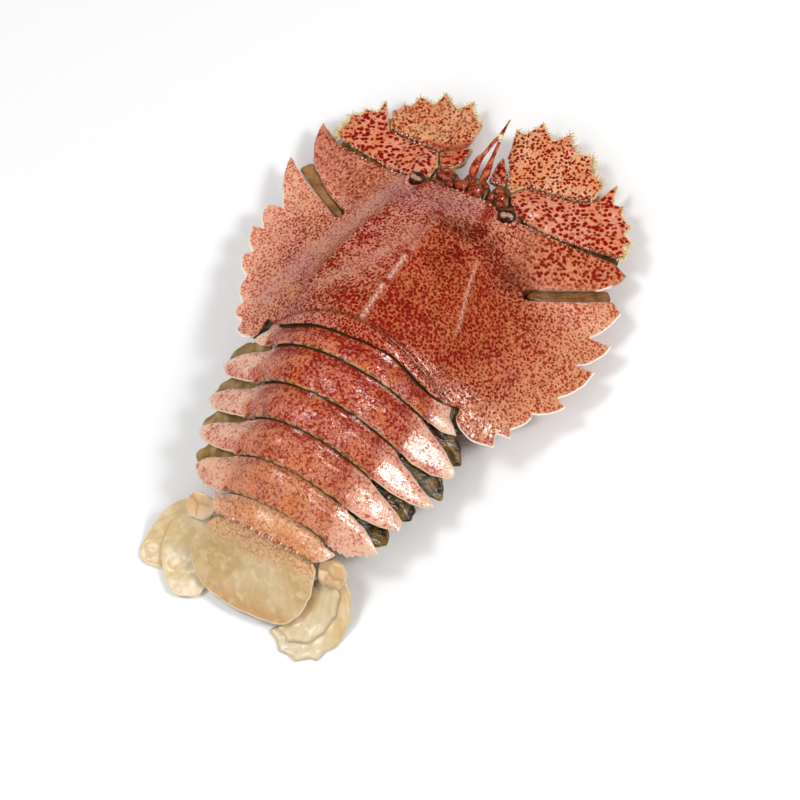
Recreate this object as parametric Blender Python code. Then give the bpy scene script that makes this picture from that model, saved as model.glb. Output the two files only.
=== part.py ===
# A whole slipper lobster, lying on its chest with its tail fan on the table.
#
# Lengths in this script are millimetres, turned into metres when a mesh is finished.
# +Y is the head, +X the animal's right, and y = 0 is the rear edge of the carapace.
# Every plate is a flat outline that is cut into cells, lifted onto a height function
# and given its thickness. An outline runs anticlockwise as (x, y) or (x, y, bulge),
# where bulge is how far the stretch to the next corner bows outwards.

import math

import bmesh
import bpy
import numpy as np

MM = 0.001
NAME = "slipper_lobster"

# The middle of the animal's length and width, which becomes the origin
MIDDLE_X = 0.1
MIDDLE_Y = 6.5

# Shell thicknesses
SHELL = 0.85
TERGITE = 0.8
FAN = 0.6

# Sizes of the cells that a plate is cut into, and of the steps along its curved edges
CELL = 4.0
WIDE_CELL = 5.0
ARC_STEP = 3.5

# The carapace, rear to front: height of the keel, then half width, height and power of the dome
KEEL = ((-6, 34.2), (0, 34.3), (7, 33.8), (20, 31.4), (29, 28.8), (43, 23.8), (50, 20.0), (56, 16.6))
DOME_WIDTH = ((-6, 22.4), (0, 22.0), (15, 20.5), (36, 15.5), (50, 13.5), (58, 12.0))
DOME_FOOT = ((-6, 22.6), (0, 22.8), (15, 24.8), (36, 22.8), (50, 17.2), (58, 13.0))
DOME_POWER = ((-6, 2.3), (0, 2.2), (8, 2.0), (20, 1.5), (30, 1.3), (60, 1.3))
BRIM = ((15, 14.0), (36, 10.7), (50, 8.5), (60, 8.0))
BRIM_TILT = 0.07
BRIM_RISE = 1.3
BRIM_FLARE = 9.0
CHEST = 7.5

# Where its underside drops from the thin margin to the chest: from the sides, rear and front
CHEST_SIDE = (45.0, 27.0)
CHEST_REAR = (5.6, 11.6)
CHEST_FRONT = (48.0, 52.0)
CHEST_CORNER = (16.0, 20.0)

# The abdomen at the plates' rear edges: height of the keel, half width and height at the hinges,
# and how steeply the side blades fall outside them
BACK_KEEL = ((-52, 17.0), (-44, 22.5), (-35, 28.3), (-26, 31.5), (-16.4, 33.4), (-6, 34.2), (4, 34.4))
BACK_WIDTH = ((-52, 13.5), (-44, 14.5), (-34.5, 14.8), (-25.5, 17.6), (-16, 20.6), (-6, 23.0), (4, 24.0))
BACK_HINGE = ((-52, 13.2), (-44, 16.0), (-34.5, 20.1), (-25.5, 20.6), (-16, 20.2), (-6, 20.4), (4, 20.4))
BLADE_FALL = ((-52, 0.30), (-44, 0.40), (-34.5, 0.48), (-25.5, 0.62), (4, 0.62))
BACK_POWER = 2.3
BACK_JOIN = (-5.0, 0.0)
STEP_DOWN = 1.35
STEP_START = 0.8
STEP_LENGTH = 3.2
STEP_FADE = 9.0
STEP_REST = 0.15
BACK_COLUMN = 3.0

# The tail: heights of the telson's middle line and of the top of the outer fan blades, how fast the
# telson falls off its middle line, and the lifts and thicknesses of the limbs beside it
TELSON = ((-70, 3.1), (-66.5, 3.3), (-64, 4.4), (-60, 6.8), (-54, 11.8), (-49.6, 16.2), (-46, 17.6))
TELSON_CROWN = ((-66, 0.002), (-60, 0.005), (-54, 0.011), (-49.6, 0.022), (-46, 0.025))
TELSON_THICKNESS = 0.9
FAN_LIMBS = {"exopod": (0.0, FAN), "endopod": (FAN + 0.35, FAN), "protopod": (2 * FAN + 2.15, 1.4)}
FAN_TOP = ((-72, 0.75), (-66, 0.85), (-62, 1.1), (-58, 2.4), (-54, 4.4), (-50, 6.4), (-46, 8.2), (-42, 9.0))

# The flat plates of the antennae, rear to front
ANTENNA_TOP = ((45, 10.6), (56, 9.4), (60, 8.7), (75, 6.6), (90, 6.2))
ANTENNA_SWELL = 2.6
SWELL_SIDE = (26.0, 14.0)
SWELL_FRONT = (66.0, 59.0)
ANTENNA_THICKNESS = {"broad": 1.8, "fan": 1.2, "inner": 2.4}

CARAPACE_OUTLINE = (
    (0.0, 1.3), (11.0, 2.0), (21.0, -0.4), (25.0, -0.2), (28.3, 0.9), (28.7, -1.8, 0.4),
    (31.7, -3.9, 0.5), (36.0, -4.4), (39.7, -3.4), (38.6, 0.1), (41.9, 0.8), (41.0, 3.0, 0.5),
    (44.0, 8.4), (43.4, 9.2, 0.9), (49.8, 15.2), (46.7, 16.1, 1.4), (51.5, 27.0), (47.0, 26.3, 1.2),
    (51.9, 35.3), (46.1, 34.5, 0.8), (49.7, 44.4), (46.4, 46.4), (29.2, 36.0), (27.3, 35.0),
    (26.6, 36.6), (27.4, 38.1), (41.6, 46.8), (43.3, 48.6), (45.4, 51.7), (46.0, 54.4),
    (41.6, 56.0), (34.7, 55.0), (27.0, 54.3), (17.5, 53.6), (16.1, 53.1), (15.3, 51.1),
    (13.3, 50.2), (11.3, 51.1), (10.5, 53.2), (5.4, 54.0), (0.0, 53.2), (-5.6, 52.8),
    (-10.5, 52.8), (-11.3, 50.7), (-13.3, 49.8), (-15.3, 50.7), (-16.1, 52.6), (-17.6, 52.9),
    (-29.7, 54.0), (-40.8, 55.5), (-48.9, 60.2, 0.6), (-46.3, 50.9), (-44.6, 48.1), (-39.5, 43.9),
    (-34.9, 40.6), (-27.6, 37.2), (-26.7, 35.9), (-28.4, 34.7), (-36.6, 38.9), (-43.7, 42.5),
    (-51.7, 47.6, 1.0), (-45.0, 32.8), (-49.7, 32.0, 1.0), (-46.7, 25.3), (-49.7, 24.6, 1.2),
    (-45.1, 17.7), (-47.3, 16.2, 1.0), (-42.4, 10.5, 0.8), (-41.3, 5.1), (-39.1, 3.2),
    (-39.9, 0.7, 0.6), (-36.0, -1.7), (-35.8, -4.5, 0.7), (-30.3, -5.6, 0.8), (-28.4, -1.6),
    (-28.3, 0.9), (-25.0, -0.1), (-21.2, -0.4), (-9.6, 0.9),
)

# Skin in the clefts of the carapace, and how far its faces lie under the shell's
CLEFT_RIGHT = ((27.9, 36.3), (30.0, 37.0), (45.2, 46.3), (43.6, 47.9), (28.3, 37.9))
CLEFT_LEFT = (
    (-27.7, 35.8), (-28.2, 36.5), (-33.9, 39.6), (-38.6, 43.1), (-44.8, 47.6), (-46.8, 45.3),
    (-36.4, 39.6), (-29.2, 35.9),
)
SKIN_TOP = 0.6
SKIN_UNDER = 1.4

# Back plates: where the rear edge starts and how far its middle bows backwards, then the corners
# of the side blade from its root at the plate in front
CARAPACE_REAR = {"rear": -0.4, "hinge": 23.0, "bow": -1.7}
TERGITES = {
    "tergite_1": {
        "front": 4.2, "rear": -6.2, "hinge": 23.0, "waist": 23.2, "bow": -1.0,
        "right": ((27.2, 0.4), (28.0, -2.6), (31.0, -5.4), (27.5, -6.7)),
        "left": ((27.2, 0.4), (27.6, -2.6), (29.4, -5.6), (26.4, -6.6)),
    },
    "tergite_2": {
        "front": -3.9, "rear": -16.2, "hinge": 20.6, "waist": 22.2, "bow": -0.5,
        "right": (
            (23.6, -6.9), (29.8, -9.9), (33.8, -12.5), (34.3, -14.2), (33.0, -15.7), (29.5, -16.9),
            (25.0, -17.2),
        ),
        "left": (
            (23.6, -7.0), (30.1, -9.5), (34.3, -12.0), (34.9, -14.2), (32.5, -16.0), (27.6, -16.4),
            (24.0, -16.4),
        ),
    },
    "tergite_3": {
        "front": -13.9, "rear": -25.5, "hinge": 17.6, "waist": 19.8, "bow": -0.4,
        "right": ((22.2, -17.7), (28.0, -20.3), (33.6, -22.8), (32.2, -24.5), (28.7, -25.7), (24.0, -26.1)),
        "left": ((22.6, -17.4), (29.0, -19.0), (33.7, -21.6), (34.2, -23.0), (31.1, -25.4), (25.9, -25.7)),
    },
    "tergite_4": {
        "front": -23.2, "rear": -34.8, "hinge": 14.9, "waist": 16.8, "bow": 0.1,
        "right": ((19.6, -26.4), (27.0, -29.4), (29.3, -30.6), (29.4, -33.3), (24.7, -34.9), (20.3, -35.4)),
        "left": ((20.4, -26.6), (27.0, -28.4), (31.0, -30.7), (30.6, -32.8), (27.7, -34.5), (23.0, -35.0)),
    },
    "tergite_5": {
        "front": -32.5, "rear": -43.9, "hinge": 14.4, "waist": 14.2, "bow": 0.2,
        "right": ((18.0, -35.9), (22.5, -37.1), (27.6, -40.4), (23.7, -42.8), (20.4, -44.6), (17.0, -44.6)),
        "left": ((17.6, -35.8), (24.5, -37.9), (27.4, -40.4), (24.4, -42.8), (21.6, -44.1), (17.5, -44.3)),
    },
    "tergite_6": {
        "front": -41.6, "rear": -50.0, "hinge": 14.3, "waist": 13.4, "bow": 0.4,
        "right": ((15.2, -45.3), (18.4, -45.7), (16.6, -48.4)),
        "left": ((15.2, -45.0), (19.2, -45.1), (17.2, -47.8)),
    },
}

TELSON_OUTLINE = (
    (-13.4, -48.9), (-15.7, -50.0, 0.5), (-19.2, -56.0, 0.5), (-18.6, -59.5, 0.7), (-12.2, -65.2, 0.6),
    (1.4, -66.7, 0.5), (12.0, -65.0, 0.8), (15.7, -58.2, 0.4), (14.6, -50.6), (13.2, -48.9),
)

# Side limbs of the tail fan, left then right
FAN_LEFT = {
    "protopod": (
        (-16.4, -47.6), (-18.6, -46.2), (-21.2, -45.6), (-23.8, -46.4), (-24.9, -48.0), (-24.4, -50.4),
        (-22.8, -52.2), (-19.8, -51.8), (-18.2, -51.2), (-16.7, -49.4),
    ),
    "endopod": (
        (-17.5, -49.5), (-22.6, -49.8), (-26.4, -53.4, 0.5), (-27.7, -58.4, 0.6), (-25.6, -64.2, 0.5),
        (-19.0, -70.2, 1.0), (-11.8, -67.4, 0.5), (-12.8, -58.0),
    ),
    "exopod": (
        (-22.0, -49.3), (-25.4, -47.6, 0.8), (-31.4, -54.2, 0.6), (-32.8, -63.8, 0.8),
        (-29.6, -66.6, 0.5), (-24.0, -65.4), (-20.6, -58.0),
    ),
}
FAN_RIGHT = {
    "protopod": (
        (13.9, -48.4), (15.3, -47.0), (17.4, -45.9), (20.0, -46.1), (21.6, -46.9), (22.4, -48.4),
        (22.2, -50.4), (21.5, -52.1), (19.2, -52.4), (16.6, -52.6), (14.4, -51.4),
    ),
    "endopod": (
        (15.4, -50.2), (19.4, -50.4), (22.2, -53.0, 0.4), (22.9, -57.2, 0.3), (21.6, -62.9, 0.3),
        (19.4, -66.4, 0.4), (15.0, -68.2, 0.3), (10.4, -66.5), (10.6, -58.0),
    ),
    "exopod": (
        (18.4, -48.6), (20.8, -47.5, 0.4), (24.6, -50.6, 0.5), (26.7, -56.5, 0.2), (26.3, -63.2, 0.4),
        (23.4, -68.8, 0.4), (18.6, -71.5, 0.3), (13.6, -71.1, 0.3), (8.4, -67.4), (14.0, -60.0),
    ),
}

# Plates of the antennae, left then right
ANTENNA_LEFT = {
    "broad": (
        (-11.9, 59.6), (-12.9, 61.0), (-15.1, 64.3), (-21.8, 64.3), (-26.5, 64.4), (-30.6, 65.0),
        (-31.4, 66.2), (-35.9, 72.5), (-36.2, 68.4), (-39.6, 67.6), (-39.4, 65.6), (-41.9, 64.5),
        (-41.2, 62.0), (-42.6, 58.4), (-40.4, 56.2), (-29.7, 54.6), (-22.6, 53.8), (-18.2, 53.6),
        (-15.6, 54.2), (-12.2, 55.4),
    ),
    "fan": (
        (-15.4, 64.7), (-12.5, 66.7), (-9.0, 69.3), (-8.7, 77.0), (-10.9, 77.8, -0.6),
        (-14.4, 82.3, -0.4), (-17.4, 78.5, -0.4), (-22.4, 81.5), (-23.6, 76.9), (-28.2, 77.6),
        (-28.9, 74.0), (-31.2, 73.4), (-31.4, 71.6), (-33.0, 70.6), (-30.4, 65.4), (-26.4, 64.8),
        (-21.8, 64.7),
    ),
    "inner": ((-12.0, 60.6), (-9.3, 60.2), (-7.4, 64.0), (-7.8, 69.6), (-12.2, 66.4), (-14.6, 64.6)),
}
ANTENNA_RIGHT = {
    "broad": (
        (9.4, 60.9), (10.9, 57.8), (13.0, 55.9), (17.0, 54.3), (26.0, 54.65), (33.9, 55.35),
        (42.2, 56.7), (43.8, 58.2), (41.9, 60.3), (43.2, 62.4), (40.2, 64.2), (40.8, 66.6),
        (37.0, 68.6), (36.3, 71.2), (33.4, 70.8), (31.7, 76.5), (29.2, 69.6), (24.7, 66.7),
        (18.2, 66.0), (13.2, 65.4), (10.8, 64.4),
    ),
    "fan": (
        (10.6, 64.9), (13.2, 65.9), (18.2, 66.5), (24.5, 67.2), (28.4, 69.8), (28.7, 74.3),
        (24.0, 77.0, -0.5), (22.4, 81.0), (18.2, 80.0, -0.5), (13.6, 84.5), (10.6, 80.6, -0.4),
        (5.6, 84.4), (3.0, 79.4), (0.0, 79.6), (1.9, 71.6), (4.6, 67.6), (6.9, 62.4), (8.9, 61.4),
        (10.0, 64.0),
    ),
    "inner": ((1.6, 62.0), (5.6, 62.0), (6.2, 62.9), (4.1, 67.2), (0.9, 71.0), (0.6, 66.8)),
}
STALKS = {
    "antenna_stalk_left": (
        (-11.4, 55.2), (-5.4, 54.4), (-4.6, 56.4), (-5.2, 59.2), (-8.2, 59.8), (-11.2, 59.4),
    ),
    "antennule_stalk": ((-4.6, 54.3), (3.9, 54.9), (4.3, 57.4), (3.0, 60.6), (-3.2, 60.6), (-3.9, 57.4)),
    "antenna_stalk_right": (
        (4.8, 55.0), (10.2, 54.8), (10.5, 57.4), (9.0, 60.4), (6.6, 60.9), (4.9, 58.6),
    ),
}
STALK_TOP = 12.4
STALK_UNDER = 4.5

ANTENNULES = {
    "antennule_left": (
        (-2.0, 61.4, 11.6), (-2.2, 64.5, 12.0), (-1.7, 69.1, 12.6), (-0.9, 73.0, 12.9),
        (-1.1, 77.2, 12.2), (-0.9, 79.2, 11.6),
    ),
    "antennule_right": ((1.4, 61.4, 11.4), (1.4, 64.8, 11.8), (0.6, 68.4, 12.4), (0.3, 71.6, 12.8)),
}
ANTENNULE_RADIUS = (0.83, 0.22)

EYE_PLACE = (13.3, 52.9, 15.4)
EYE_LEFT_BACK = 0.4
EYE_RADIUS = 2.2

# The chest under the carapace, which the animal rests on, and the folded legs beside it
STERNUM = ((15.5, 6.0), (16.5, 12.0), (9.5, 42.0), (5.5, 49.0))
STERNUM_TOP = 7.0
STERNUM_CELL = 10.0
LEG_ROOTS = (41.5, 33.5, 25.5, 17.5, 9.5)
LEG_BACK = 3.8
LEG_REACH = 31.0
LEG_MIDDLE = 25.0
LEG_SHORTER = 0.14
LEG_RADIUS = 1.6
LEG_TAPER = (1.0, 0.95, 0.85, 0.8, 0.78, 0.66, 0.25)
LEG_HEIGHT = 3.6
LEG_GAP = 1.1

# Swimmerets: soft leaves that hang under the blades of the back plates, placed by their middles
LEAVES = {
    "right": ((26.9, -7.7), (26.3, -16.9), (23.3, -25.6), (20.7, -34.2)),
    "left": ((-29.4, -8.0), (-28.3, -17.3), (-26.3, -26.3), (-22.9, -35.0)),
}
LEAF_LENGTH = 14.4
LEAF_WIDTH = 7.4
LEAF_TURN = -22.0
LEAF_DROP = 3.4
LEAF_THICKNESS = 0.8
LEAF_CORNERS = 10

# Flesh of the abdomen under its plates: places of its corners, and how it stands in from the plates
FLESH_STATIONS = (1.8, -8.0, -18.0, -28.0, -38.0, -46.5)
FLESH_MARGIN = 2.6
FLESH_UNDER = ((-48, 6.4), (-36, 4.0), (-20, 3.6), (2, 6.0))
FLESH_DROP = 3.3
FLESH_ROUND = 0.012
FLESH_CELL = 6.0

COLOURS = {
    "shell": (0.71, 0.30, 0.21), "back": (0.52, 0.16, 0.14), "antenna": (0.74, 0.30, 0.17),
    "tail": (0.66, 0.50, 0.28), "skin": (0.20, 0.13, 0.05), "flesh": (0.45, 0.36, 0.20),
    "leg": (0.68, 0.34, 0.20), "eye": (0.60, 0.45, 0.33),
}


def through(stations, at):
    """A smooth curve through the (place, value) stations, read at the places given."""
    place, value = np.array(stations, float).T
    slope = np.gradient(value, place)
    at = np.clip(at, place[0], place[-1])
    i = np.clip(np.searchsorted(place, at) - 1, 0, len(place) - 2)
    span = place[i + 1] - place[i]
    t = (at - place[i]) / span
    start = value[i] * (1 + 2 * t) + slope[i] * span * t
    end = value[i + 1] * (3 - 2 * t) + slope[i + 1] * span * (t - 1)
    return start * (1 - t) ** 2 + end * t ** 2


def ramp(t, start=0.0, end=1.0):
    """0 up to the start, 1 from the end on, and smooth between them."""
    t = np.clip((t - start) / (end - start), 0.0, 1.0)
    return t * t * (3 - 2 * t)


def carapace_top(x, y):
    """Height of the carapace: a keeled dome that flares into a flat brim."""
    out = np.abs(x)
    width = through(DOME_WIDTH, y)
    foot = through(DOME_FOOT, y)
    keel = through(KEEL, y)
    inside = foot + (keel - foot) * (1 - np.minimum(out / width, 1.0) ** through(DOME_POWER, y))
    rise = BRIM_RISE - BRIM_TILT * y
    root = through(BRIM, width) + rise
    outside = through(BRIM, out) + rise + (foot - root) * np.exp(-np.maximum(out - width, 0.0) / BRIM_FLARE)
    return np.where(out < width, inside, outside)


def carapace_under(x, y):
    """Height of its underside: thin at the margins, down to the chest inside them."""
    out = np.abs(x)
    thin = carapace_top(x, y) - SHELL
    side = ramp(out, *CHEST_SIDE)
    rear = ramp(y, *CHEST_REAR)
    front = 1 - ramp(y, *CHEST_FRONT) * ramp(out, *CHEST_CORNER)
    return thin + (CHEST - thin) * side * rear * front


def back_surface(x, y):
    """Height of the abdomen over the rear edges of its plates."""
    out = np.abs(x)
    width = through(BACK_WIDTH, y)
    hinge = through(BACK_HINGE, y)
    arch = hinge + (through(BACK_KEEL, y) - hinge) * (1 - np.minimum(out / width, 1.0) ** BACK_POWER)
    blade = hinge - through(BLADE_FALL, y) * (out - width)
    own = np.where(out < width, arch, blade)
    joined = ramp(y, *BACK_JOIN)
    return joined * carapace_top(x, y) + (1 - joined) * own


def over(surface, x, y, height):
    """Points that stand off a surface, square to it."""
    step = 0.05
    z = surface(x, y)
    slope_x = (surface(x + step, y) - surface(x - step, y)) / (2 * step)
    slope_y = (surface(x, y + step) - surface(x, y - step)) / (2 * step)
    size = np.sqrt(1 + slope_x ** 2 + slope_y ** 2)
    return np.stack([x - height * slope_x / size, y - height * slope_y / size, z + height / size], -1)


def level(height):
    """A layer straight above the outline, from a height function or one height."""
    def layer(x, y):
        z = height(x, y) if callable(height) else np.full_like(x, height)
        return np.stack([x, y, z], -1)
    return layer


def traced(corners, step=ARC_STEP):
    """The outline's points, with its bulging stretches as arcs."""
    points = []
    for here, there in zip(corners, corners[1:] + corners[:1]):
        start = np.array(here[:2], float)
        run = np.array(there[:2], float) - start
        length = np.hypot(*run)
        bulge = here[2] if len(here) > 2 else 0.0
        count = max(2, math.ceil(length / step)) if bulge else 1
        outwards = np.array([run[1], -run[0]]) / length
        for i in range(count):
            t = i / count
            points.append(start + run * t + outwards * bulge * 4 * t * (1 - t))
    return points


def mirrored(corners):
    """The outline seen in a mirror, still anticlockwise."""
    return tuple((-corner[0], *corner[1:2]) for corner in reversed(corners))


def filled(outline):
    """One flat face inside the outline."""
    curve = bpy.data.curves.new("outline", "CURVE")
    curve.dimensions = "2D"
    curve.fill_mode = "BOTH"
    spline = curve.splines.new("POLY")
    spline.points.add(len(outline) - 1)
    for point, (x, y) in zip(spline.points, outline):
        point.co = (x, y, 0.0, 1.0)
    spline.use_cyclic_u = True
    guide = bpy.data.objects.new("outline", curve)
    bpy.context.scene.collection.objects.link(guide)
    depsgraph = bpy.context.evaluated_depsgraph_get()
    mesh = bpy.data.meshes.new_from_object(guide.evaluated_get(depsgraph))
    bpy.data.objects.remove(guide)
    bm = bmesh.new()
    bm.from_mesh(mesh)
    bpy.data.meshes.remove(mesh)
    bmesh.ops.remove_doubles(bm, verts=bm.verts, dist=0.0001)
    bmesh.ops.dissolve_faces(bm, faces=bm.faces)
    return bm


def cut(bm, axis, places):
    """Cut every face along lines across an axis."""
    normal = (1, 0, 0) if axis == 0 else (0, 1, 0)
    for place in places:
        point = (place, 0, 0) if axis == 0 else (0, place, 0)
        geometry = bm.verts[:] + bm.edges[:] + bm.faces[:]
        bmesh.ops.bisect_plane(bm, geom=geometry, dist=0.1, plane_co=point, plane_no=normal)


def plate(name, corners, top, under, columns=CELL, rows=CELL):
    """A closed plate between two layers. Columns and rows are a cell size or lists of cuts."""
    outline = traced(tuple(corners))
    bm = filled(outline)
    for axis, cuts in ((0, columns), (1, rows)):
        if not isinstance(cuts, (list, tuple)):
            reach = [point[axis] for point in outline]
            cuts = np.arange(math.floor(min(reach) / cuts), math.ceil(max(reach) / cuts) + 1) * cuts
        cut(bm, axis, cuts)
    bmesh.ops.triangulate(bm, faces=bm.faces)
    upper = bm.verts[:]
    grown = bmesh.ops.extrude_face_region(bm, geom=bm.faces[:], use_keep_orig=True)
    lower = [item for item in grown["geom"] if isinstance(item, bmesh.types.BMVert)]
    for verts, layer in ((upper, top), (lower, under)):
        x, y = np.array([vert.co.xy for vert in verts]).T
        for vert, place in zip(verts, layer(x, y)):
            vert.co = place
    bmesh.ops.recalc_face_normals(bm, faces=bm.faces)
    return finished(name, bm)


def finished(name, bm):
    """Turn a piece in millimetres into a mesh object in metres, placed about the origin."""
    bmesh.ops.translate(bm, verts=bm.verts, vec=(-MIDDLE_X, -MIDDLE_Y, 0.0))
    bmesh.ops.scale(bm, verts=bm.verts, vec=(MM, MM, MM))
    bmesh.ops.triangulate(bm, faces=bm.faces)
    if bm.calc_volume(signed=True) < 0:
        bmesh.ops.reverse_faces(bm, faces=bm.faces)
    mesh = bpy.data.meshes.new(name)
    bm.to_mesh(mesh)
    bm.free()
    mesh.shade_smooth()
    mesh.set_sharp_from_angle(angle=math.radians(40))
    piece = bpy.data.objects.new(name, mesh)
    parts.objects.link(piece)
    return piece


def tube(name, points, radii, resolution=2):
    """A round limb along its points, closed at both ends."""
    curve = bpy.data.curves.new(name, "CURVE")
    curve.dimensions = "3D"
    curve.bevel_depth = 1.0
    curve.bevel_resolution = 1
    curve.resolution_u = resolution
    curve.use_fill_caps = True
    spline = curve.splines.new("BEZIER")
    spline.bezier_points.add(len(points) - 1)
    for knot, place, radius in zip(spline.bezier_points, points, radii):
        knot.co = place
        knot.radius = radius
        knot.handle_left_type = "AUTO"
        knot.handle_right_type = "AUTO"
    guide = bpy.data.objects.new(name, curve)
    bpy.context.scene.collection.objects.link(guide)
    depsgraph = bpy.context.evaluated_depsgraph_get()
    mesh = bpy.data.meshes.new_from_object(guide.evaluated_get(depsgraph))
    bpy.data.objects.remove(guide)
    bm = bmesh.new()
    bm.from_mesh(mesh)
    bpy.data.meshes.remove(mesh)
    bmesh.ops.remove_doubles(bm, verts=bm.verts, dist=0.0001)
    bmesh.ops.recalc_face_normals(bm, faces=bm.faces)
    return finished(name, bm)


def paint(piece, kind, roughness=0.35):
    """Give a piece its own material."""
    material = bpy.data.materials.new(piece.name)
    material.use_nodes = True
    shader = material.node_tree.nodes["Principled BSDF"]
    shader.inputs["Base Color"].default_value = (*COLOURS[kind], 1.0)
    shader.inputs["Roughness"].default_value = roughness
    shader.inputs["Metallic"].default_value = 0.0
    piece.data.materials.append(material)


def build_carapace():
    shell = plate("carapace", CARAPACE_OUTLINE, level(carapace_top), level(carapace_under))
    paint(shell, "shell")
    for name, corners in (("cleft_skin_right", CLEFT_RIGHT), ("cleft_skin_left", CLEFT_LEFT)):
        skin = plate(
            name, corners,
            level(lambda x, y: carapace_top(x, y) - SKIN_TOP),
            level(lambda x, y: carapace_top(x, y) - SKIN_UNDER))
        paint(skin, "skin")


def rear_edge(shape, x):
    """Where a plate's rear edge lies across the back."""
    return shape["rear"] - shape["bow"] * (1 - np.minimum(np.abs(x) / shape["hinge"], 1.0) ** 2)


def tergite_outline(shape):
    """Outline of a back plate, from the left end of its hidden front edge."""
    waist = shape["waist"]
    hinge = shape["hinge"]
    left = [(-x, y) for x, y in shape["left"]]
    right = list(reversed(shape["right"]))
    rear = [(-hinge, shape["rear"], shape["bow"]), (hinge, shape["rear"])]
    return [(-waist + 1.5, shape["front"])] + left + rear + right + [(waist - 1.5, shape["front"])]


def build_back():
    """Six back plates, each with its front edge tucked under the plate before it."""
    before = CARAPACE_REAR
    for name, shape in TERGITES.items():
        def rise(x, y, before=before):
            behind = rear_edge(before, x) - STEP_START - y
            quick = (1 - STEP_REST) * ramp(behind, 0.0, STEP_LENGTH)
            return -STEP_DOWN * (1 - quick - STEP_REST * ramp(behind, 0.0, STEP_FADE))

        def top(x, y, rise=rise):
            return over(back_surface, x, y, rise(x, y))

        def under(x, y, rise=rise):
            return over(back_surface, x, y, rise(x, y) - TERGITE)

        start = before["rear"] - STEP_START
        rows = [start - STEP_LENGTH * part for part in (0.0, 0.5, 1.0, 2.0)]
        paint(plate(name, tergite_outline(shape), top, under, BACK_COLUMN, rows), "back")
        before = shape


def flesh_top(x, y):
    """Under the plates, in from them at the sides but still over its own y."""
    points = over(back_surface, x, y, -FLESH_DROP)
    points[:, 1] = y
    return points


def build_flesh():
    """The meat of the abdomen, which shows between the blades."""
    right = [(float(through(BACK_WIDTH, y)) - FLESH_MARGIN, y) for y in reversed(FLESH_STATIONS)]
    left = [(-x, y) for x, y in reversed(right)]
    under = level(lambda x, y: through(FLESH_UNDER, y) + FLESH_ROUND * x * x)
    paint(plate("abdomen_flesh", right + left, flesh_top, under, WIDE_CELL, FLESH_CELL), "flesh")


def leaf_outline(place):
    """An oval leaf that points out and back from its root."""
    corners = []
    turn = math.radians(LEAF_TURN)
    for i in range(LEAF_CORNERS):
        angle = 2 * math.pi * i / LEAF_CORNERS
        along = LEAF_LENGTH / 2 * math.cos(angle)
        across = LEAF_WIDTH / 2 * math.sin(angle)
        x = along * math.cos(turn) - across * math.sin(turn)
        y = along * math.sin(turn) + across * math.cos(turn)
        corners.append((abs(place[0]) + x, place[1] + y))
    return corners if place[0] > 0 else mirrored(corners)


def leaf_top(x, y):
    return back_surface(x, y) - LEAF_DROP + 0.3 * np.sin(0.9 * y + 0.5 * x)


def build_leaves():
    for word, places in LEAVES.items():
        for number, place in enumerate(places, 1):
            leaf = plate(
                f"swimmeret_{word}_{number}", leaf_outline(place), level(leaf_top),
                level(lambda x, y: leaf_top(x, y) - LEAF_THICKNESS))
            paint(leaf, "flesh")


def telson_top(x, y):
    return through(TELSON, y) - through(TELSON_CROWN, y) * x * x


def build_tail():
    telson = plate(
        "telson", TELSON_OUTLINE, level(telson_top),
        level(lambda x, y: telson_top(x, y) - TELSON_THICKNESS))
    paint(telson, "tail")
    for word, limbs in (("left", FAN_LEFT), ("right", FAN_RIGHT)):
        for limb, corners in limbs.items():
            lift, thickness = FAN_LIMBS[limb]

            def top(x, y, lift=lift):
                return through(FAN_TOP, y) + lift

            def under(x, y, top=top, thickness=thickness):
                return np.maximum(top(x, y) - thickness, 0.0)
            paint(plate(f"{limb}_{word}", corners, level(top), level(under), WIDE_CELL), "tail")


def antenna_top(x, y):
    """Flat plates that swell towards their roots beside the mouth."""
    swell = ANTENNA_SWELL * ramp(np.abs(x), *SWELL_SIDE) * ramp(y, *SWELL_FRONT)
    return through(ANTENNA_TOP, y) + swell


def build_antennae():
    for word, plates in (("left", ANTENNA_LEFT), ("right", ANTENNA_RIGHT)):
        for kind, thickness in ANTENNA_THICKNESS.items():
            piece = plate(
                f"antenna_{kind}_{word}", plates[kind], level(antenna_top),
                level(lambda x, y, t=thickness: antenna_top(x, y) - t), WIDE_CELL, WIDE_CELL)
            paint(piece, "antenna")
    for name, corners in STALKS.items():
        paint(plate(name, corners, level(STALK_TOP), level(STALK_UNDER)), "antenna")
    for name, points in ANTENNULES.items():
        radii = np.linspace(*ANTENNULE_RADIUS, len(points))
        paint(tube(name, points, radii), "antenna")


def build_eyes():
    for word, side, back in (("right", 1, 0.0), ("left", -1, EYE_LEFT_BACK)):
        bm = bmesh.new()
        bmesh.ops.create_uvsphere(bm, u_segments=12, v_segments=8, radius=EYE_RADIUS)
        x, y, z = EYE_PLACE
        bmesh.ops.translate(bm, verts=bm.verts, vec=(side * x, y - back, z))
        paint(finished(f"eye_{word}", bm), "eye", 0.2)


def leg_points(root, side):
    """A folded leg: out from the chest to the knee, and back under itself."""
    width, place = np.array(STERNUM).T
    hip = np.interp(root, place, width) + LEG_GAP
    knee = LEG_REACH - LEG_SHORTER * abs(root - LEG_MIDDLE)
    middle = (hip + knee) / 2
    path = (
        (hip, 0.0, 0.0), (middle, 0.4, 0.5), (knee - 2.5, 0.1, 0.3), (knee, -LEG_BACK / 2, 0.0),
        (knee - 2.5, -LEG_BACK, -0.5), (middle, -LEG_BACK - 0.1, -0.9), (hip + 1.5, -LEG_BACK + 0.2, -1.2),
    )
    return [(side * x, root + y, LEG_HEIGHT + z) for x, y, z in path]


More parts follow.
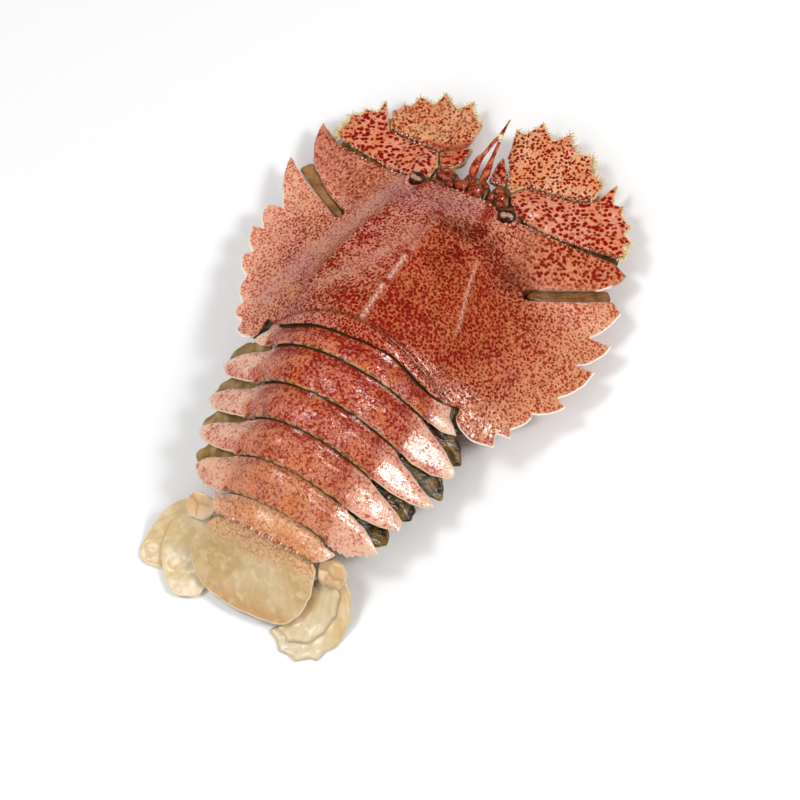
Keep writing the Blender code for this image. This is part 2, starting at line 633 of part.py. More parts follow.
def build_chest_and_legs():
    chest = STERNUM + tuple((-x, y) for x, y in reversed(STERNUM))
    paint(plate("sternum", chest, level(STERNUM_TOP), level(0.0), STERNUM_CELL, STERNUM_CELL), "leg")
    for number, root in enumerate(LEG_ROOTS, 1):
        for word, side in (("right", 1), ("left", -1)):
            radii = [LEG_RADIUS * size for size in LEG_TAPER]
            paint(tube(f"leg_{word}_{number}", leg_points(root, side), radii), "leg")


for old in list(bpy.data.objects):
    bpy.data.objects.remove(old, do_unlink=True)

parts = bpy.data.collections.new(NAME)
bpy.context.scene.collection.children.link(parts)

build_carapace()
build_back()
build_flesh()
build_leaves()
build_tail()
build_antennae()
build_eyes()
build_chest_and_legs()
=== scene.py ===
# Looks of a whole slipper lobster, dressed over its fixed solids.
#
# Lengths are millimetres until a mesh is finished. +Y is the head, +X the animal's right,
# and y = 0 is the rear edge of the carapace. Outlines and height functions are those of the
# solids, so a piece lies exactly where its solid is, with a finer surface.

import math

import bpy
import numpy as np
from mathutils import Matrix, Vector
from mathutils.geometry import delaunay_2d_cdt


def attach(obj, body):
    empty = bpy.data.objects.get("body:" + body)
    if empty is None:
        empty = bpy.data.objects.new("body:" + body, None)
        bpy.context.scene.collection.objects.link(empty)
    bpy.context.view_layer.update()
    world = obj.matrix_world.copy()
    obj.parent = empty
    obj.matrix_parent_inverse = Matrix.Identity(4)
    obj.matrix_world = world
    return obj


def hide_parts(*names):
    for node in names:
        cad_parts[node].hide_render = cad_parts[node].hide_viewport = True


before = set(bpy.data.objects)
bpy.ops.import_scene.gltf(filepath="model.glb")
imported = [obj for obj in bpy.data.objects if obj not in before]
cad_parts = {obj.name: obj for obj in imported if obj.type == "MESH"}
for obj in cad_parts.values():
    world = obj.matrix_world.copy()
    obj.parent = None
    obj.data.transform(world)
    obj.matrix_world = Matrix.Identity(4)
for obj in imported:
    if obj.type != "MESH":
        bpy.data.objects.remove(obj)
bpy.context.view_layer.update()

# A millimetre in metres, and the plan's place that is the frame's middle
MM = 0.001
MIDDLE_X = 0.1
MIDDLE_Y = 6.5

# Thicknesses of the shell, the back plates and the fan's blades
SHELL = 0.85
TERGITE = 0.8
FAN = 0.6

# Spacing of the points along a curved stretch of an outline
ARC_STEP = 0.7

# The camera: its angles in degrees, what it looks at, its distance and lens, and where the
# photograph's frame lies off its axis
CAMERA_AZIMUTH = 52.006
CAMERA_ELEVATION = 64.608
CAMERA_ROLL = -24.320
CAMERA_AIM = (0.0, 8.720, 15.591)
CAMERA_DISTANCE = 700.0
CAMERA_LENS = 124.4
CAMERA_SHIFT = (0.0268, -0.0755)

# Soft lights: direction from the object, size in metres, power in watts, and whether a light gives
# soft light, a shine on wet surfaces, or both
LIGHTS = {
    "key": ((0.66, 0.26, 0.70), 0.20, 2.7, ("soft",)),
    "card": ((0.71, -0.03, 0.70), 0.20, 2.3, ("shine",)),
    "side": ((0.88, 0.08, 0.46), 0.14, 0.8, ("shine",)),
    "corner": ((0.46, 0.36, 0.81), 0.16, 2.7, ("shine",)),
    "top": ((-0.40, -0.12, 0.91), 0.20, 1.6, ("soft", "shine")),
    "front": ((-0.35, 0.85, 0.45), 0.50, 0.7, ("soft",)),
    "rear": ((-0.15, -0.75, 0.62), 0.60, 1.7, ("soft",)),
}
LIGHT_DISTANCE = 0.7
SKY = 0.18

# How far light spreads under a surface, in red, green and blue
GLOW_REACH = (1.0, 0.45, 0.3)

# The floor's size in metres and how white it is
FLOOR_SIZE = 4.0
FLOOR_WHITE = 0.95

# The carapace, rear to front: height of the keel, then half width, height and power of the dome
KEEL = ((-6, 34.2), (0, 34.3), (7, 33.8), (20, 31.4), (29, 28.8), (43, 23.8), (50, 20.0), (56, 16.6))
DOME_WIDTH = ((-6, 22.4), (0, 22.0), (15, 20.5), (36, 15.5), (50, 13.5), (58, 12.0))
DOME_FOOT = ((-6, 22.6), (0, 22.8), (15, 24.8), (36, 22.8), (50, 17.2), (58, 13.0))
DOME_POWER = ((-6, 2.3), (0, 2.2), (8, 2.0), (20, 1.5), (30, 1.3), (60, 1.3))

# Its brim: heights by the distance from the keel, how steeply it falls to the front, how far it is
# raised and how gently it leaves the dome; then the height of the chest
BRIM = ((15, 14.0), (36, 10.7), (50, 8.5), (60, 8.0))
BRIM_TILT = 0.07
BRIM_RISE = 1.3
BRIM_FLARE = 9.0
CHEST = 7.5

# Where its underside drops from the thin margin to the chest: from the sides, rear and front
CHEST_SIDE = (45.0, 27.0)
CHEST_REAR = (5.6, 11.6)
CHEST_FRONT = (48.0, 52.0)
CHEST_CORNER = (16.0, 20.0)

# The abdomen at the plates' rear edges: height of the keel, half width and height at the hinges,
# and how steeply the side blades fall outside them
BACK_KEEL = ((-52, 17.0), (-44, 22.5), (-35, 28.3), (-26, 31.5), (-16.4, 33.4), (-6, 34.2), (4, 34.4))
BACK_WIDTH = ((-52, 13.5), (-44, 14.5), (-34.5, 14.8), (-25.5, 17.6), (-16, 20.6), (-6, 23.0), (4, 24.0))
BACK_HINGE = ((-52, 13.2), (-44, 16.0), (-34.5, 20.1), (-25.5, 20.6), (-16, 20.2), (-6, 20.4), (4, 20.4))
BLADE_FALL = ((-52, 0.30), (-44, 0.40), (-34.5, 0.48), (-25.5, 0.62), (4, 0.62))
BACK_POWER = 2.3
BACK_JOIN = (-5.0, 0.0)

# How far each plate lies under the one in front, where it starts to rise and how far behind it
# the quick and the slow rise end, with the slow one's share
STEP_DOWN = 1.35
STEP_START = 0.8
STEP_LENGTH = 3.2
STEP_FADE = 9.0
STEP_REST = 0.15

# The tail: heights of the telson's middle line and of the top of the outer fan blades, how fast the
# telson falls off its middle line, and the lifts and thicknesses of the limbs beside it
TELSON = ((-70, 3.1), (-66.5, 3.3), (-64, 4.4), (-60, 6.8), (-54, 11.8), (-49.6, 16.2), (-46, 17.6))
TELSON_CROWN = ((-66, 0.002), (-60, 0.005), (-54, 0.011), (-49.6, 0.022), (-46, 0.025))
TELSON_THICKNESS = 0.9
FAN_LIMBS = {"exopod": (0.0, FAN), "endopod": (FAN + 0.35, FAN), "protopod": (2 * FAN + 2.15, 1.4)}
FAN_TOP = ((-72, 0.75), (-66, 0.85), (-62, 1.1), (-58, 2.4), (-54, 4.4), (-50, 6.4), (-46, 8.2), (-42, 9.0))

# The flat plates of the antennae, rear to front
ANTENNA_TOP = ((45, 10.6), (56, 9.4), (60, 8.7), (75, 6.6), (90, 6.2))
ANTENNA_SWELL = 2.6
SWELL_SIDE = (26.0, 14.0)
SWELL_FRONT = (66.0, 59.0)
ANTENNA_THICKNESS = {"broad": 1.8, "fan": 1.2, "inner": 2.4}

# Outlines run anticlockwise; a third value is how far a stretch bulges outwards
CARAPACE_OUTLINE = (
    (0.0, 1.3), (11.0, 2.0), (21.0, -0.4), (25.0, -0.2), (28.3, 0.9), (28.7, -1.8, 0.4),
    (31.7, -3.9, 0.5), (36.0, -4.4), (39.7, -3.4), (38.6, 0.1), (41.9, 0.8), (41.0, 3.0, 0.5),
    (44.0, 8.4), (43.4, 9.2, 0.9), (49.8, 15.2), (46.7, 16.1, 1.4), (51.5, 27.0), (47.0, 26.3, 1.2),
    (51.9, 35.3), (46.1, 34.5, 0.8), (49.7, 44.4), (46.4, 46.4), (29.2, 36.0), (27.3, 35.0),
    (26.6, 36.6), (27.4, 38.1), (41.6, 46.8), (43.3, 48.6), (45.4, 51.7), (46.0, 54.4),
    (41.6, 56.0), (34.7, 55.0), (27.0, 54.3), (17.5, 53.6), (16.1, 53.1), (15.3, 51.1),
    (13.3, 50.2), (11.3, 51.1), (10.5, 53.2), (5.4, 54.0), (0.0, 53.2), (-5.6, 52.8),
    (-10.5, 52.8), (-11.3, 50.7), (-13.3, 49.8), (-15.3, 50.7), (-16.1, 52.6), (-17.6, 52.9),
    (-29.7, 54.0), (-40.8, 55.5), (-48.9, 60.2, 0.6), (-46.3, 50.9), (-44.6, 48.1), (-39.5, 43.9),
    (-34.9, 40.6), (-27.6, 37.2), (-26.7, 35.9), (-28.4, 34.7), (-36.6, 38.9), (-43.7, 42.5),
    (-51.7, 47.6, 1.0), (-45.0, 32.8), (-49.7, 32.0, 1.0), (-46.7, 25.3), (-49.7, 24.6, 1.2),
    (-45.1, 17.7), (-47.3, 16.2, 1.0), (-42.4, 10.5, 0.8), (-41.3, 5.1), (-39.1, 3.2),
    (-39.9, 0.7, 0.6), (-36.0, -1.7), (-35.8, -4.5, 0.7), (-30.3, -5.6, 0.8), (-28.4, -1.6),
    (-28.3, 0.9), (-25.0, -0.1), (-21.2, -0.4), (-9.6, 0.9),
)

# Skin in the clefts of the carapace, and how far its faces lie under the shell's
CLEFT_RIGHT = ((27.9, 36.3), (30.0, 37.0), (45.2, 46.3), (43.6, 47.9), (28.3, 37.9))
CLEFT_LEFT = (
    (-27.7, 35.8), (-28.2, 36.5), (-33.9, 39.6), (-38.6, 43.1), (-44.8, 47.6), (-46.8, 45.3),
    (-36.4, 39.6), (-29.2, 35.9),
)
SKIN_TOP = 0.6
SKIN_UNDER = 1.4

# Back plates: where the rear edge starts and how far its middle bows backwards, then the corners
# of the side blade from its root at the plate in front
CARAPACE_REAR = {"rear": -0.4, "hinge": 23.0, "bow": -1.7}
TERGITES = {
    "tergite_1": {
        "front": 4.2, "rear": -6.2, "hinge": 23.0, "waist": 23.2, "bow": -1.0,
        "right": ((27.2, 0.4), (28.0, -2.6), (31.0, -5.4), (27.5, -6.7)),
        "left": ((27.2, 0.4), (27.6, -2.6), (29.4, -5.6), (26.4, -6.6)),
    },
    "tergite_2": {
        "front": -3.9, "rear": -16.2, "hinge": 20.6, "waist": 22.2, "bow": -0.5,
        "right": (
            (23.6, -6.9), (29.8, -9.9), (33.8, -12.5), (34.3, -14.2), (33.0, -15.7), (29.5, -16.9),
            (25.0, -17.2),
        ),
        "left": (
            (23.6, -7.0), (30.1, -9.5), (34.3, -12.0), (34.9, -14.2), (32.5, -16.0), (27.6, -16.4),
            (24.0, -16.4),
        ),
    },
    "tergite_3": {
        "front": -13.9, "rear": -25.5, "hinge": 17.6, "waist": 19.8, "bow": -0.4,
        "right": ((22.2, -17.7), (28.0, -20.3), (33.6, -22.8), (32.2, -24.5), (28.7, -25.7), (24.0, -26.1)),
        "left": ((22.6, -17.4), (29.0, -19.0), (33.7, -21.6), (34.2, -23.0), (31.1, -25.4), (25.9, -25.7)),
    },
    "tergite_4": {
        "front": -23.2, "rear": -34.8, "hinge": 14.9, "waist": 16.8, "bow": 0.1,
        "right": ((19.6, -26.4), (27.0, -29.4), (29.3, -30.6), (29.4, -33.3), (24.7, -34.9), (20.3, -35.4)),
        "left": ((20.4, -26.6), (27.0, -28.4), (31.0, -30.7), (30.6, -32.8), (27.7, -34.5), (23.0, -35.0)),
    },
    "tergite_5": {
        "front": -32.5, "rear": -43.9, "hinge": 14.4, "waist": 14.2, "bow": 0.2,
        "right": ((18.0, -35.9), (22.5, -37.1), (27.6, -40.4), (23.7, -42.8), (20.4, -44.6), (17.0, -44.6)),
        "left": ((17.6, -35.8), (24.5, -37.9), (27.4, -40.4), (24.4, -42.8), (21.6, -44.1), (17.5, -44.3)),
    },
    "tergite_6": {
        "front": -41.6, "rear": -50.0, "hinge": 14.3, "waist": 13.4, "bow": 0.4,
        "right": ((15.2, -45.3), (18.4, -45.7), (16.6, -48.4)),
        "left": ((15.2, -45.0), (19.2, -45.1), (17.2, -47.8)),
    },
}

TELSON_OUTLINE = (
    (-13.4, -48.9), (-15.7, -50.0, 0.5), (-19.2, -56.0, 0.5), (-18.6, -59.5, 0.7), (-12.2, -65.2, 0.6),
    (1.4, -66.7, 0.5), (12.0, -65.0, 0.8), (15.7, -58.2, 0.4), (14.6, -50.6), (13.2, -48.9),
)

# Side limbs of the tail fan, left then right
FAN_LEFT = {
    "protopod": (
        (-16.4, -47.6), (-18.6, -46.2), (-21.2, -45.6), (-23.8, -46.4), (-24.9, -48.0), (-24.4, -50.4),
        (-22.8, -52.2), (-19.8, -51.8), (-18.2, -51.2), (-16.7, -49.4),
    ),
    "endopod": (
        (-17.5, -49.5), (-22.6, -49.8), (-26.4, -53.4, 0.5), (-27.7, -58.4, 0.6), (-25.6, -64.2, 0.5),
        (-19.0, -70.2, 1.0), (-11.8, -67.4, 0.5), (-12.8, -58.0),
    ),
    "exopod": (
        (-22.0, -49.3), (-25.4, -47.6, 0.8), (-31.4, -54.2, 0.6), (-32.8, -63.8, 0.8),
        (-29.6, -66.6, 0.5), (-24.0, -65.4), (-20.6, -58.0),
    ),
}
FAN_RIGHT = {
    "protopod": (
        (13.9, -48.4), (15.3, -47.0), (17.4, -45.9), (20.0, -46.1), (21.6, -46.9), (22.4, -48.4),
        (22.2, -50.4), (21.5, -52.1), (19.2, -52.4), (16.6, -52.6), (14.4, -51.4),
    ),
    "endopod": (
        (15.4, -50.2), (19.4, -50.4), (22.2, -53.0, 0.4), (22.9, -57.2, 0.3), (21.6, -62.9, 0.3),
        (19.4, -66.4, 0.4), (15.0, -68.2, 0.3), (10.4, -66.5), (10.6, -58.0),
    ),
    "exopod": (
        (18.4, -48.6), (20.8, -47.5, 0.4), (24.6, -50.6, 0.5), (26.7, -56.5, 0.2), (26.3, -63.2, 0.4),
        (23.4, -68.8, 0.4), (18.6, -71.5, 0.3), (13.6, -71.1, 0.3), (8.4, -67.4), (14.0, -60.0),
    ),
}

# Plates of the antennae, left then right
ANTENNA_LEFT = {
    "broad": (
        (-11.9, 59.6), (-12.9, 61.0), (-15.1, 64.3), (-21.8, 64.3), (-26.5, 64.4), (-30.6, 65.0),
        (-31.4, 66.2), (-35.9, 72.5), (-36.2, 68.4), (-39.6, 67.6), (-39.4, 65.6), (-41.9, 64.5),
        (-41.2, 62.0), (-42.6, 58.4), (-40.4, 56.2), (-29.7, 54.6), (-22.6, 53.8), (-18.2, 53.6),
        (-15.6, 54.2), (-12.2, 55.4),
    ),
    "fan": (
        (-15.4, 64.7), (-12.5, 66.7), (-9.0, 69.3), (-8.7, 77.0), (-10.9, 77.8, -0.6),
        (-14.4, 82.3, -0.4), (-17.4, 78.5, -0.4), (-22.4, 81.5), (-23.6, 76.9), (-28.2, 77.6),
        (-28.9, 74.0), (-31.2, 73.4), (-31.4, 71.6), (-33.0, 70.6), (-30.4, 65.4), (-26.4, 64.8),
        (-21.8, 64.7),
    ),
    "inner": ((-12.0, 60.6), (-9.3, 60.2), (-7.4, 64.0), (-7.8, 69.6), (-12.2, 66.4), (-14.6, 64.6)),
}
ANTENNA_RIGHT = {
    "broad": (
        (9.4, 60.9), (10.9, 57.8), (13.0, 55.9), (17.0, 54.3), (26.0, 54.65), (33.9, 55.35),
        (42.2, 56.7), (43.8, 58.2), (41.9, 60.3), (43.2, 62.4), (40.2, 64.2), (40.8, 66.6),
        (37.0, 68.6), (36.3, 71.2), (33.4, 70.8), (31.7, 76.5), (29.2, 69.6), (24.7, 66.7),
        (18.2, 66.0), (13.2, 65.4), (10.8, 64.4),
    ),
    "fan": (
        (10.6, 64.9), (13.2, 65.9), (18.2, 66.5), (24.5, 67.2), (28.4, 69.8), (28.7, 74.3),
        (24.0, 77.0, -0.5), (22.4, 81.0), (18.2, 80.0, -0.5), (13.6, 84.5), (10.6, 80.6, -0.4),
        (5.6, 84.4), (3.0, 79.4), (0.0, 79.6), (1.9, 71.6), (4.6, 67.6), (6.9, 62.4), (8.9, 61.4),
        (10.0, 64.0),
    ),
    "inner": ((1.6, 62.0), (5.6, 62.0), (6.2, 62.9), (4.1, 67.2), (0.9, 71.0), (0.6, 66.8)),
}

# The stalks between the eyes, and their heights
STALKS = {
    "antenna_stalk_left": (
        (-11.4, 55.2), (-5.4, 54.4), (-4.6, 56.4), (-5.2, 59.2), (-8.2, 59.8), (-11.2, 59.4),
    ),
    "antennule_stalk": ((-4.6, 54.3), (3.9, 54.9), (4.3, 57.4), (3.0, 60.6), (-3.2, 60.6), (-3.9, 57.4)),
    "antenna_stalk_right": (
        (4.8, 55.0), (10.2, 54.8), (10.5, 57.4), (9.0, 60.4), (6.6, 60.9), (4.9, 58.6),
    ),
}
STALK_TOP = 12.4
STALK_UNDER = 4.5

# The right eye's place; the left one is its mirror image, a little further back
EYE_PLACE = (13.3, 52.9, 15.4)
EYE_LEFT_BACK = 0.4
EYE_RADIUS = 2.2

# The chest under the carapace, which the animal rests on, and the folded legs beside it
STERNUM = ((15.5, 6.0), (16.5, 12.0), (9.5, 42.0), (5.5, 49.0))
STERNUM_TOP = 7.0
LEG_ROOTS = (41.5, 33.5, 25.5, 17.5, 9.5)
LEG_BACK = 3.8
LEG_REACH = 31.0
LEG_MIDDLE = 25.0
LEG_SHORTER = 0.14
LEG_RADIUS = 1.6
LEG_TAPER = (1.0, 0.95, 0.85, 0.8, 0.78, 0.66, 0.25)
LEG_HEIGHT = 3.6
LEG_GAP = 1.1

# Swimmerets: soft leaves that hang under the blades of the back plates, placed by their middles
LEAVES = {
    "right": ((26.9, -7.7), (26.3, -16.9), (23.3, -25.6), (20.7, -34.2)),
    "left": ((-29.4, -8.0), (-28.3, -17.3), (-26.3, -26.3), (-22.9, -35.0)),
}
LEAF_LENGTH = 14.4
LEAF_WIDTH = 7.4
LEAF_TURN = -22.0
LEAF_DROP = 3.4
LEAF_THICKNESS = 0.8
LEAF_CORNERS = 10

# Flesh of the abdomen under its plates: places of its corners, and how it stands in from the plates
FLESH_STATIONS = (1.8, -8.0, -18.0, -28.0, -38.0, -46.5)
FLESH_MARGIN = 2.6
FLESH_UNDER = ((-48, 6.4), (-36, 4.0), (-20, 3.6), (2, 6.0))
FLESH_DROP = 3.3
FLESH_ROUND = 0.012


def through(stations, at):
    """A smooth curve through the (place, value) stations, read at the places given."""
    place, value = np.array(stations, float).T
    slope = np.gradient(value, place)
    at = np.clip(at, place[0], place[-1])
    i = np.clip(np.searchsorted(place, at) - 1, 0, len(place) - 2)
    span = place[i + 1] - place[i]
    t = (at - place[i]) / span
    start = value[i] * (1 + 2 * t) + slope[i] * span * t
    end = value[i + 1] * (3 - 2 * t) + slope[i + 1] * span * (t - 1)
    return start * (1 - t) ** 2 + end * t ** 2


def ramp(t, start=0.0, end=1.0):
    """0 up to the start, 1 from the end on, and smooth between them."""
    t = np.clip((t - start) / (end - start), 0.0, 1.0)
    return t * t * (3 - 2 * t)


def carapace_top(x, y):
    """Height of the carapace: a keeled dome that flares into a flat brim."""
    out = np.abs(x)
    width = through(DOME_WIDTH, y)
    foot = through(DOME_FOOT, y)
    keel = through(KEEL, y)
    inside = foot + (keel - foot) * (1 - np.minimum(out / width, 1.0) ** through(DOME_POWER, y))
    rise = BRIM_RISE - BRIM_TILT * y
    root = through(BRIM, width) + rise
    outside = through(BRIM, out) + rise + (foot - root) * np.exp(-np.maximum(out - width, 0.0) / BRIM_FLARE)
    return np.where(out < width, inside, outside)


def carapace_under(x, y):
    """Height of its underside: thin at the margins, down to the chest inside them."""
    out = np.abs(x)
    thin = carapace_top(x, y) - SHELL
    side = ramp(out, *CHEST_SIDE)
    rear = ramp(y, *CHEST_REAR)
    front = 1 - ramp(y, *CHEST_FRONT) * ramp(out, *CHEST_CORNER)
    return thin + (CHEST - thin) * side * rear * front


def back_surface(x, y):
    """Height of the abdomen over the rear edges of its plates."""
    out = np.abs(x)
    width = through(BACK_WIDTH, y)
    hinge = through(BACK_HINGE, y)
    arch = hinge + (through(BACK_KEEL, y) - hinge) * (1 - np.minimum(out / width, 1.0) ** BACK_POWER)
    blade = hinge - through(BLADE_FALL, y) * (out - width)
    own = np.where(out < width, arch, blade)
    joined = ramp(y, *BACK_JOIN)
    return joined * carapace_top(x, y) + (1 - joined) * own


def over(surface, x, y, height):
    """Points that stand off a surface, square to it."""
    step = 0.05
    z = surface(x, y)
    slope_x = (surface(x + step, y) - surface(x - step, y)) / (2 * step)
    slope_y = (surface(x, y + step) - surface(x, y - step)) / (2 * step)
    size = np.sqrt(1 + slope_x ** 2 + slope_y ** 2)
    return np.stack([x - height * slope_x / size, y - height * slope_y / size, z + height / size], -1)


def rear_edge(shape, x):
    """Where a plate's rear edge lies across the back."""
    return shape["rear"] - shape["bow"] * (1 - np.minimum(np.abs(x) / shape["hinge"], 1.0) ** 2)


def leaf_outline(place):
    """An oval leaf that points out and back from its root."""
    corners = []
    turn = math.radians(LEAF_TURN)
    for i in range(LEAF_CORNERS):
        angle = 2 * math.pi * i / LEAF_CORNERS
        along = LEAF_LENGTH / 2 * math.cos(angle)
        across = LEAF_WIDTH / 2 * math.sin(angle)
        x = along * math.cos(turn) - across * math.sin(turn)
        y = along * math.sin(turn) + across * math.cos(turn)
        corners.append((abs(place[0]) + x, place[1] + y))
    return corners if place[0] > 0 else mirrored(corners)


def leaf_top(x, y):
    return back_surface(x, y) - LEAF_DROP + 0.3 * np.sin(0.9 * y + 0.5 * x)


def telson_top(x, y):
    return through(TELSON, y) - through(TELSON_CROWN, y) * x * x


def antenna_top(x, y):
    """Flat plates that swell towards their roots beside the mouth."""
    swell = ANTENNA_SWELL * ramp(np.abs(x), *SWELL_SIDE) * ramp(y, *SWELL_FRONT)
    return through(ANTENNA_TOP, y) + swell


def mirrored(corners):
    """The outline seen in a mirror, still anticlockwise."""
    return tuple((-corner[0], corner[1]) for corner in reversed(corners))


def tergite_outline(shape):
    """Outline of a back plate, from the left end of its hidden front edge."""
    waist = shape["waist"]
    hinge = shape["hinge"]
    left = [(-x, y) for x, y in shape["left"]]
    right = list(reversed(shape["right"]))
    rear = [(-hinge, shape["rear"], shape["bow"]), (hinge, shape["rear"])]
    return [(-waist + 1.5, shape["front"])] + left + rear + right + [(waist - 1.5, shape["front"])]


def traced(corners):
    """The outline's points, with its bulging stretches as arcs."""
    points = []
    for here, there in zip(corners, corners[1:] + corners[:1]):
        start = np.array(here[:2], float)
        run = np.array(there[:2], float) - start
        length = np.hypot(*run)
        bulge = here[2] if len(here) > 2 else 0.0
        count = max(2, math.ceil(length / ARC_STEP)) if bulge else 1
        outwards = np.array([run[1], -run[0]]) / length
        for i in range(count):
            t = i / count
            points.append(start + run * t + outwards * bulge * 4 * t * (1 - t))
    return points


def leg_points(root, side):
    """A folded leg: out from the chest to the knee, and back under itself."""
    width, place = np.array(STERNUM).T
    hip = np.interp(root, place, width) + LEG_GAP
    knee = LEG_REACH - LEG_SHORTER * abs(root - LEG_MIDDLE)
    middle = (hip + knee) / 2
    path = (
        (hip, 0.0, 0.0), (middle, 0.4, 0.5), (knee - 2.5, 0.1, 0.3), (knee, -LEG_BACK / 2, 0.0),
        (knee - 2.5, -LEG_BACK, -0.5), (middle, -LEG_BACK - 0.1, -0.9), (hip + 1.5, -LEG_BACK + 0.2, -1.2),
    )
    return [(side * x, root + y, LEG_HEIGHT + z) for x, y, z in path]


# How many points are measured against an outline at a time, to spare memory
BATCH = 1500


def clearance(points, outline):
    """Distance from points to an outline, negative outside it."""
    ends = np.roll(outline, -1, 0)
    run = ends - outline
    square = np.maximum((run ** 2).sum(1), 1e-12)
    rise = np.where(run[:, 1] == 0, 1e-9, run[:, 1])
    found = np.empty(len(points))
    for i in range(0, len(points), BATCH):
        some = points[i:i + BATCH, None, :]
        off = some - outline
        t = np.clip((off * run).sum(-1) / square, 0, 1)
        gap = np.sqrt(((off - t[..., None] * run) ** 2).sum(-1)).min(1)
        crossing = (outline[:, 1] > some[..., 1]) != (ends[:, 1] > some[..., 1])
        odd = (crossing & (some[..., 0] < outline[:, 0] + off[..., 1] * run[:, 0] / rise)).sum(1) % 2
        found[i:i + BATCH] = np.where(odd == 1, gap, -gap)
    return found


def ripple(x, y, size, seed, waves=7):
    """Gentle seeded unevenness between about -1 and 1, with swells of the given size."""
    draw = np.random.default_rng(seed)
    total = 0.0
    for _ in range(waves):
        angle, start = draw.uniform(0, 2 * math.pi, 2)
        rate = 2 * math.pi / (size * draw.uniform(0.7, 1.5))
        total = total + np.sin(rate * (x * math.cos(angle) + y * math.sin(angle)) + start)
    return total / math.sqrt(waves)


def bell(t, width):
    """1 at 0, fading to both sides over the width."""
    return np.exp(-(t / width) ** 2)


def outwards(points):
    """Unit directions that face out of an anticlockwise outline."""
    turned = np.roll(points, -1, 0) - np.roll(points, 1, 0)
    return np.stack([turned[:, 1], -turned[:, 0]], -1) / np.hypot(*turned.T)[:, None]


# How long the swells of an uneven outline are
WOBBLE_SIZE = 3.5


def evened(corners, step, round_off, wobble=0.0, seed=0):
    """An outline as evenly spaced points, its corners rounded a little and its line uneven."""
    points = np.array(traced(tuple(corners)))
    closed = np.vstack([points, points[:1]])
    along = np.concatenate([[0], np.cumsum(np.hypot(*np.diff(closed, axis=0).T))])
    count = max(12, round(along[-1] / step))
    at = np.linspace(0, along[-1], count, endpoint=False)
    points = np.stack([np.interp(at, along, closed[:, axis]) for axis in (0, 1)], -1)
    reach = math.ceil(3 * round_off / step)
    weights = bell(np.arange(-reach, reach + 1) * step, round_off * math.sqrt(2))
    shifted = [np.roll(points, k, 0) for k in range(-reach, reach + 1)]
    points = np.tensordot(weights / weights.sum(), shifted, 1)
    if wobble:
        points = points + outwards(points) * (wobble * ripple(*points.T, WOBBLE_SIZE, seed))[:, None]
    return points


# The rounded edge of a plate: how far in it ends, the parts of it where rings of points lie, and
# the spacing of the points that broad pieces are filled with
EDGE = 0.4
EDGE_RINGS = (0.3, 1.0)
PLATE_GRID = 0.5


def spread(outline, spacing):
    """Triangles that fill an outline: its own points first, rings along it, then even rows inside."""
    rings = []
    for part in EDGE_RINGS:
        offset = part * EDGE
        ring = outline - outwards(outline) * offset
        rings.append(ring[clearance(ring, outline) > offset * 0.93])
    low = outline.min(0)
    high = outline.max(0)
    rows = np.arange(low[1], high[1], spacing * math.sqrt(0.75))
    columns = np.arange(low[0], high[0] + spacing, spacing)
    grid = np.array([(x + spacing / 2 * (i % 2), y) for i, y in enumerate(rows) for x in columns])
    grid = grid[clearance(grid, outline) > EDGE + spacing * 0.4]
    points = np.vstack([outline, *rings, grid])
    result = delaunay_2d_cdt([Vector(p) for p in points], [], [list(range(len(outline)))], 1, 1e-5)
    return np.array([tuple(p) for p in result[0]]), np.array(result[2])


def mesh_piece(name, verts, faces, fields):
    """A smooth mesh object from millimetres, with float attributes for its material."""
    mesh = bpy.data.meshes.new(name)
    place = (np.asarray(verts, float) - (MIDDLE_X, MIDDLE_Y, 0.0)) * MM
    mesh.from_pydata(place.tolist(), [], [tuple(int(i) for i in face) for face in faces])
    for field, values in fields.items():
        attribute = mesh.attributes.new(field, "FLOAT", "POINT")
        attribute.data.foreach_set("value", np.asarray(values, np.float32))
    mesh.validate()
    mesh.shade_smooth()
    piece = bpy.data.objects.new(name, mesh)
    bpy.context.scene.collection.objects.link(piece)
    return piece


def dress(piece, material, slot, *nodes):
    """Give a piece its finish, its body and the solids that it stands for."""
    piece.data.materials.append(material)
    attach(piece, "root")
    if nodes:
        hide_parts(*nodes)


def plate(name, outline, place, thickness, spacing, relief, marks=None):
    """A closed plate with a rounded edge. place(x, y, height) stands a point off its upper face."""
    flat, triangles = spread(outline, spacing)
    x, y = flat.T
    inside = np.maximum(clearance(flat, outline), 0.0)
    inside[:len(outline)] = 0.0
    depth = thickness(x, y) if callable(thickness) else np.full_like(x, thickness)
    curve = np.clip(1 - inside / EDGE, 0, 1)
    drop = np.minimum(EDGE, depth / 2) * (1 - np.sqrt(1 - curve ** 2))
    drop = np.where(inside == 0, depth / 2, drop)
    top = place(x, y, relief(x, y, inside) * ramp(inside, 0.0, 0.9) - drop)
    under = place(x, y, drop - depth)
    rim = inside == 0
    lower = np.where(rim, np.arange(len(flat)), np.cumsum(~rim) - 1 + len(flat))
    verts = np.vstack([top, under[~rim]])
    faces = np.vstack([triangles, lower[triangles][:, ::-1]])
    fields = {"margin": inside, **(marks(x, y, inside) if marks else {})}
    fields = {key: np.concatenate([values, values[~rim]]) for key, values in fields.items()}
    return mesh_piece(name, verts, faces, fields)


def lifted(height):
    """Stand points straight above a height function."""
    def place(x, y, rise):
        return np.stack([x, y, height(x, y) + rise], -1)
    return place


def level(height):
    """Stand points straight above a level."""
    return lifted(lambda x, y: np.full_like(x, height))


def standing(surface, layer):
    """Stand points square off a layer that lies at some height over a surface."""
    def place(x, y, rise):
        return over(surface, x, y, layer(x, y) + rise)
    return place


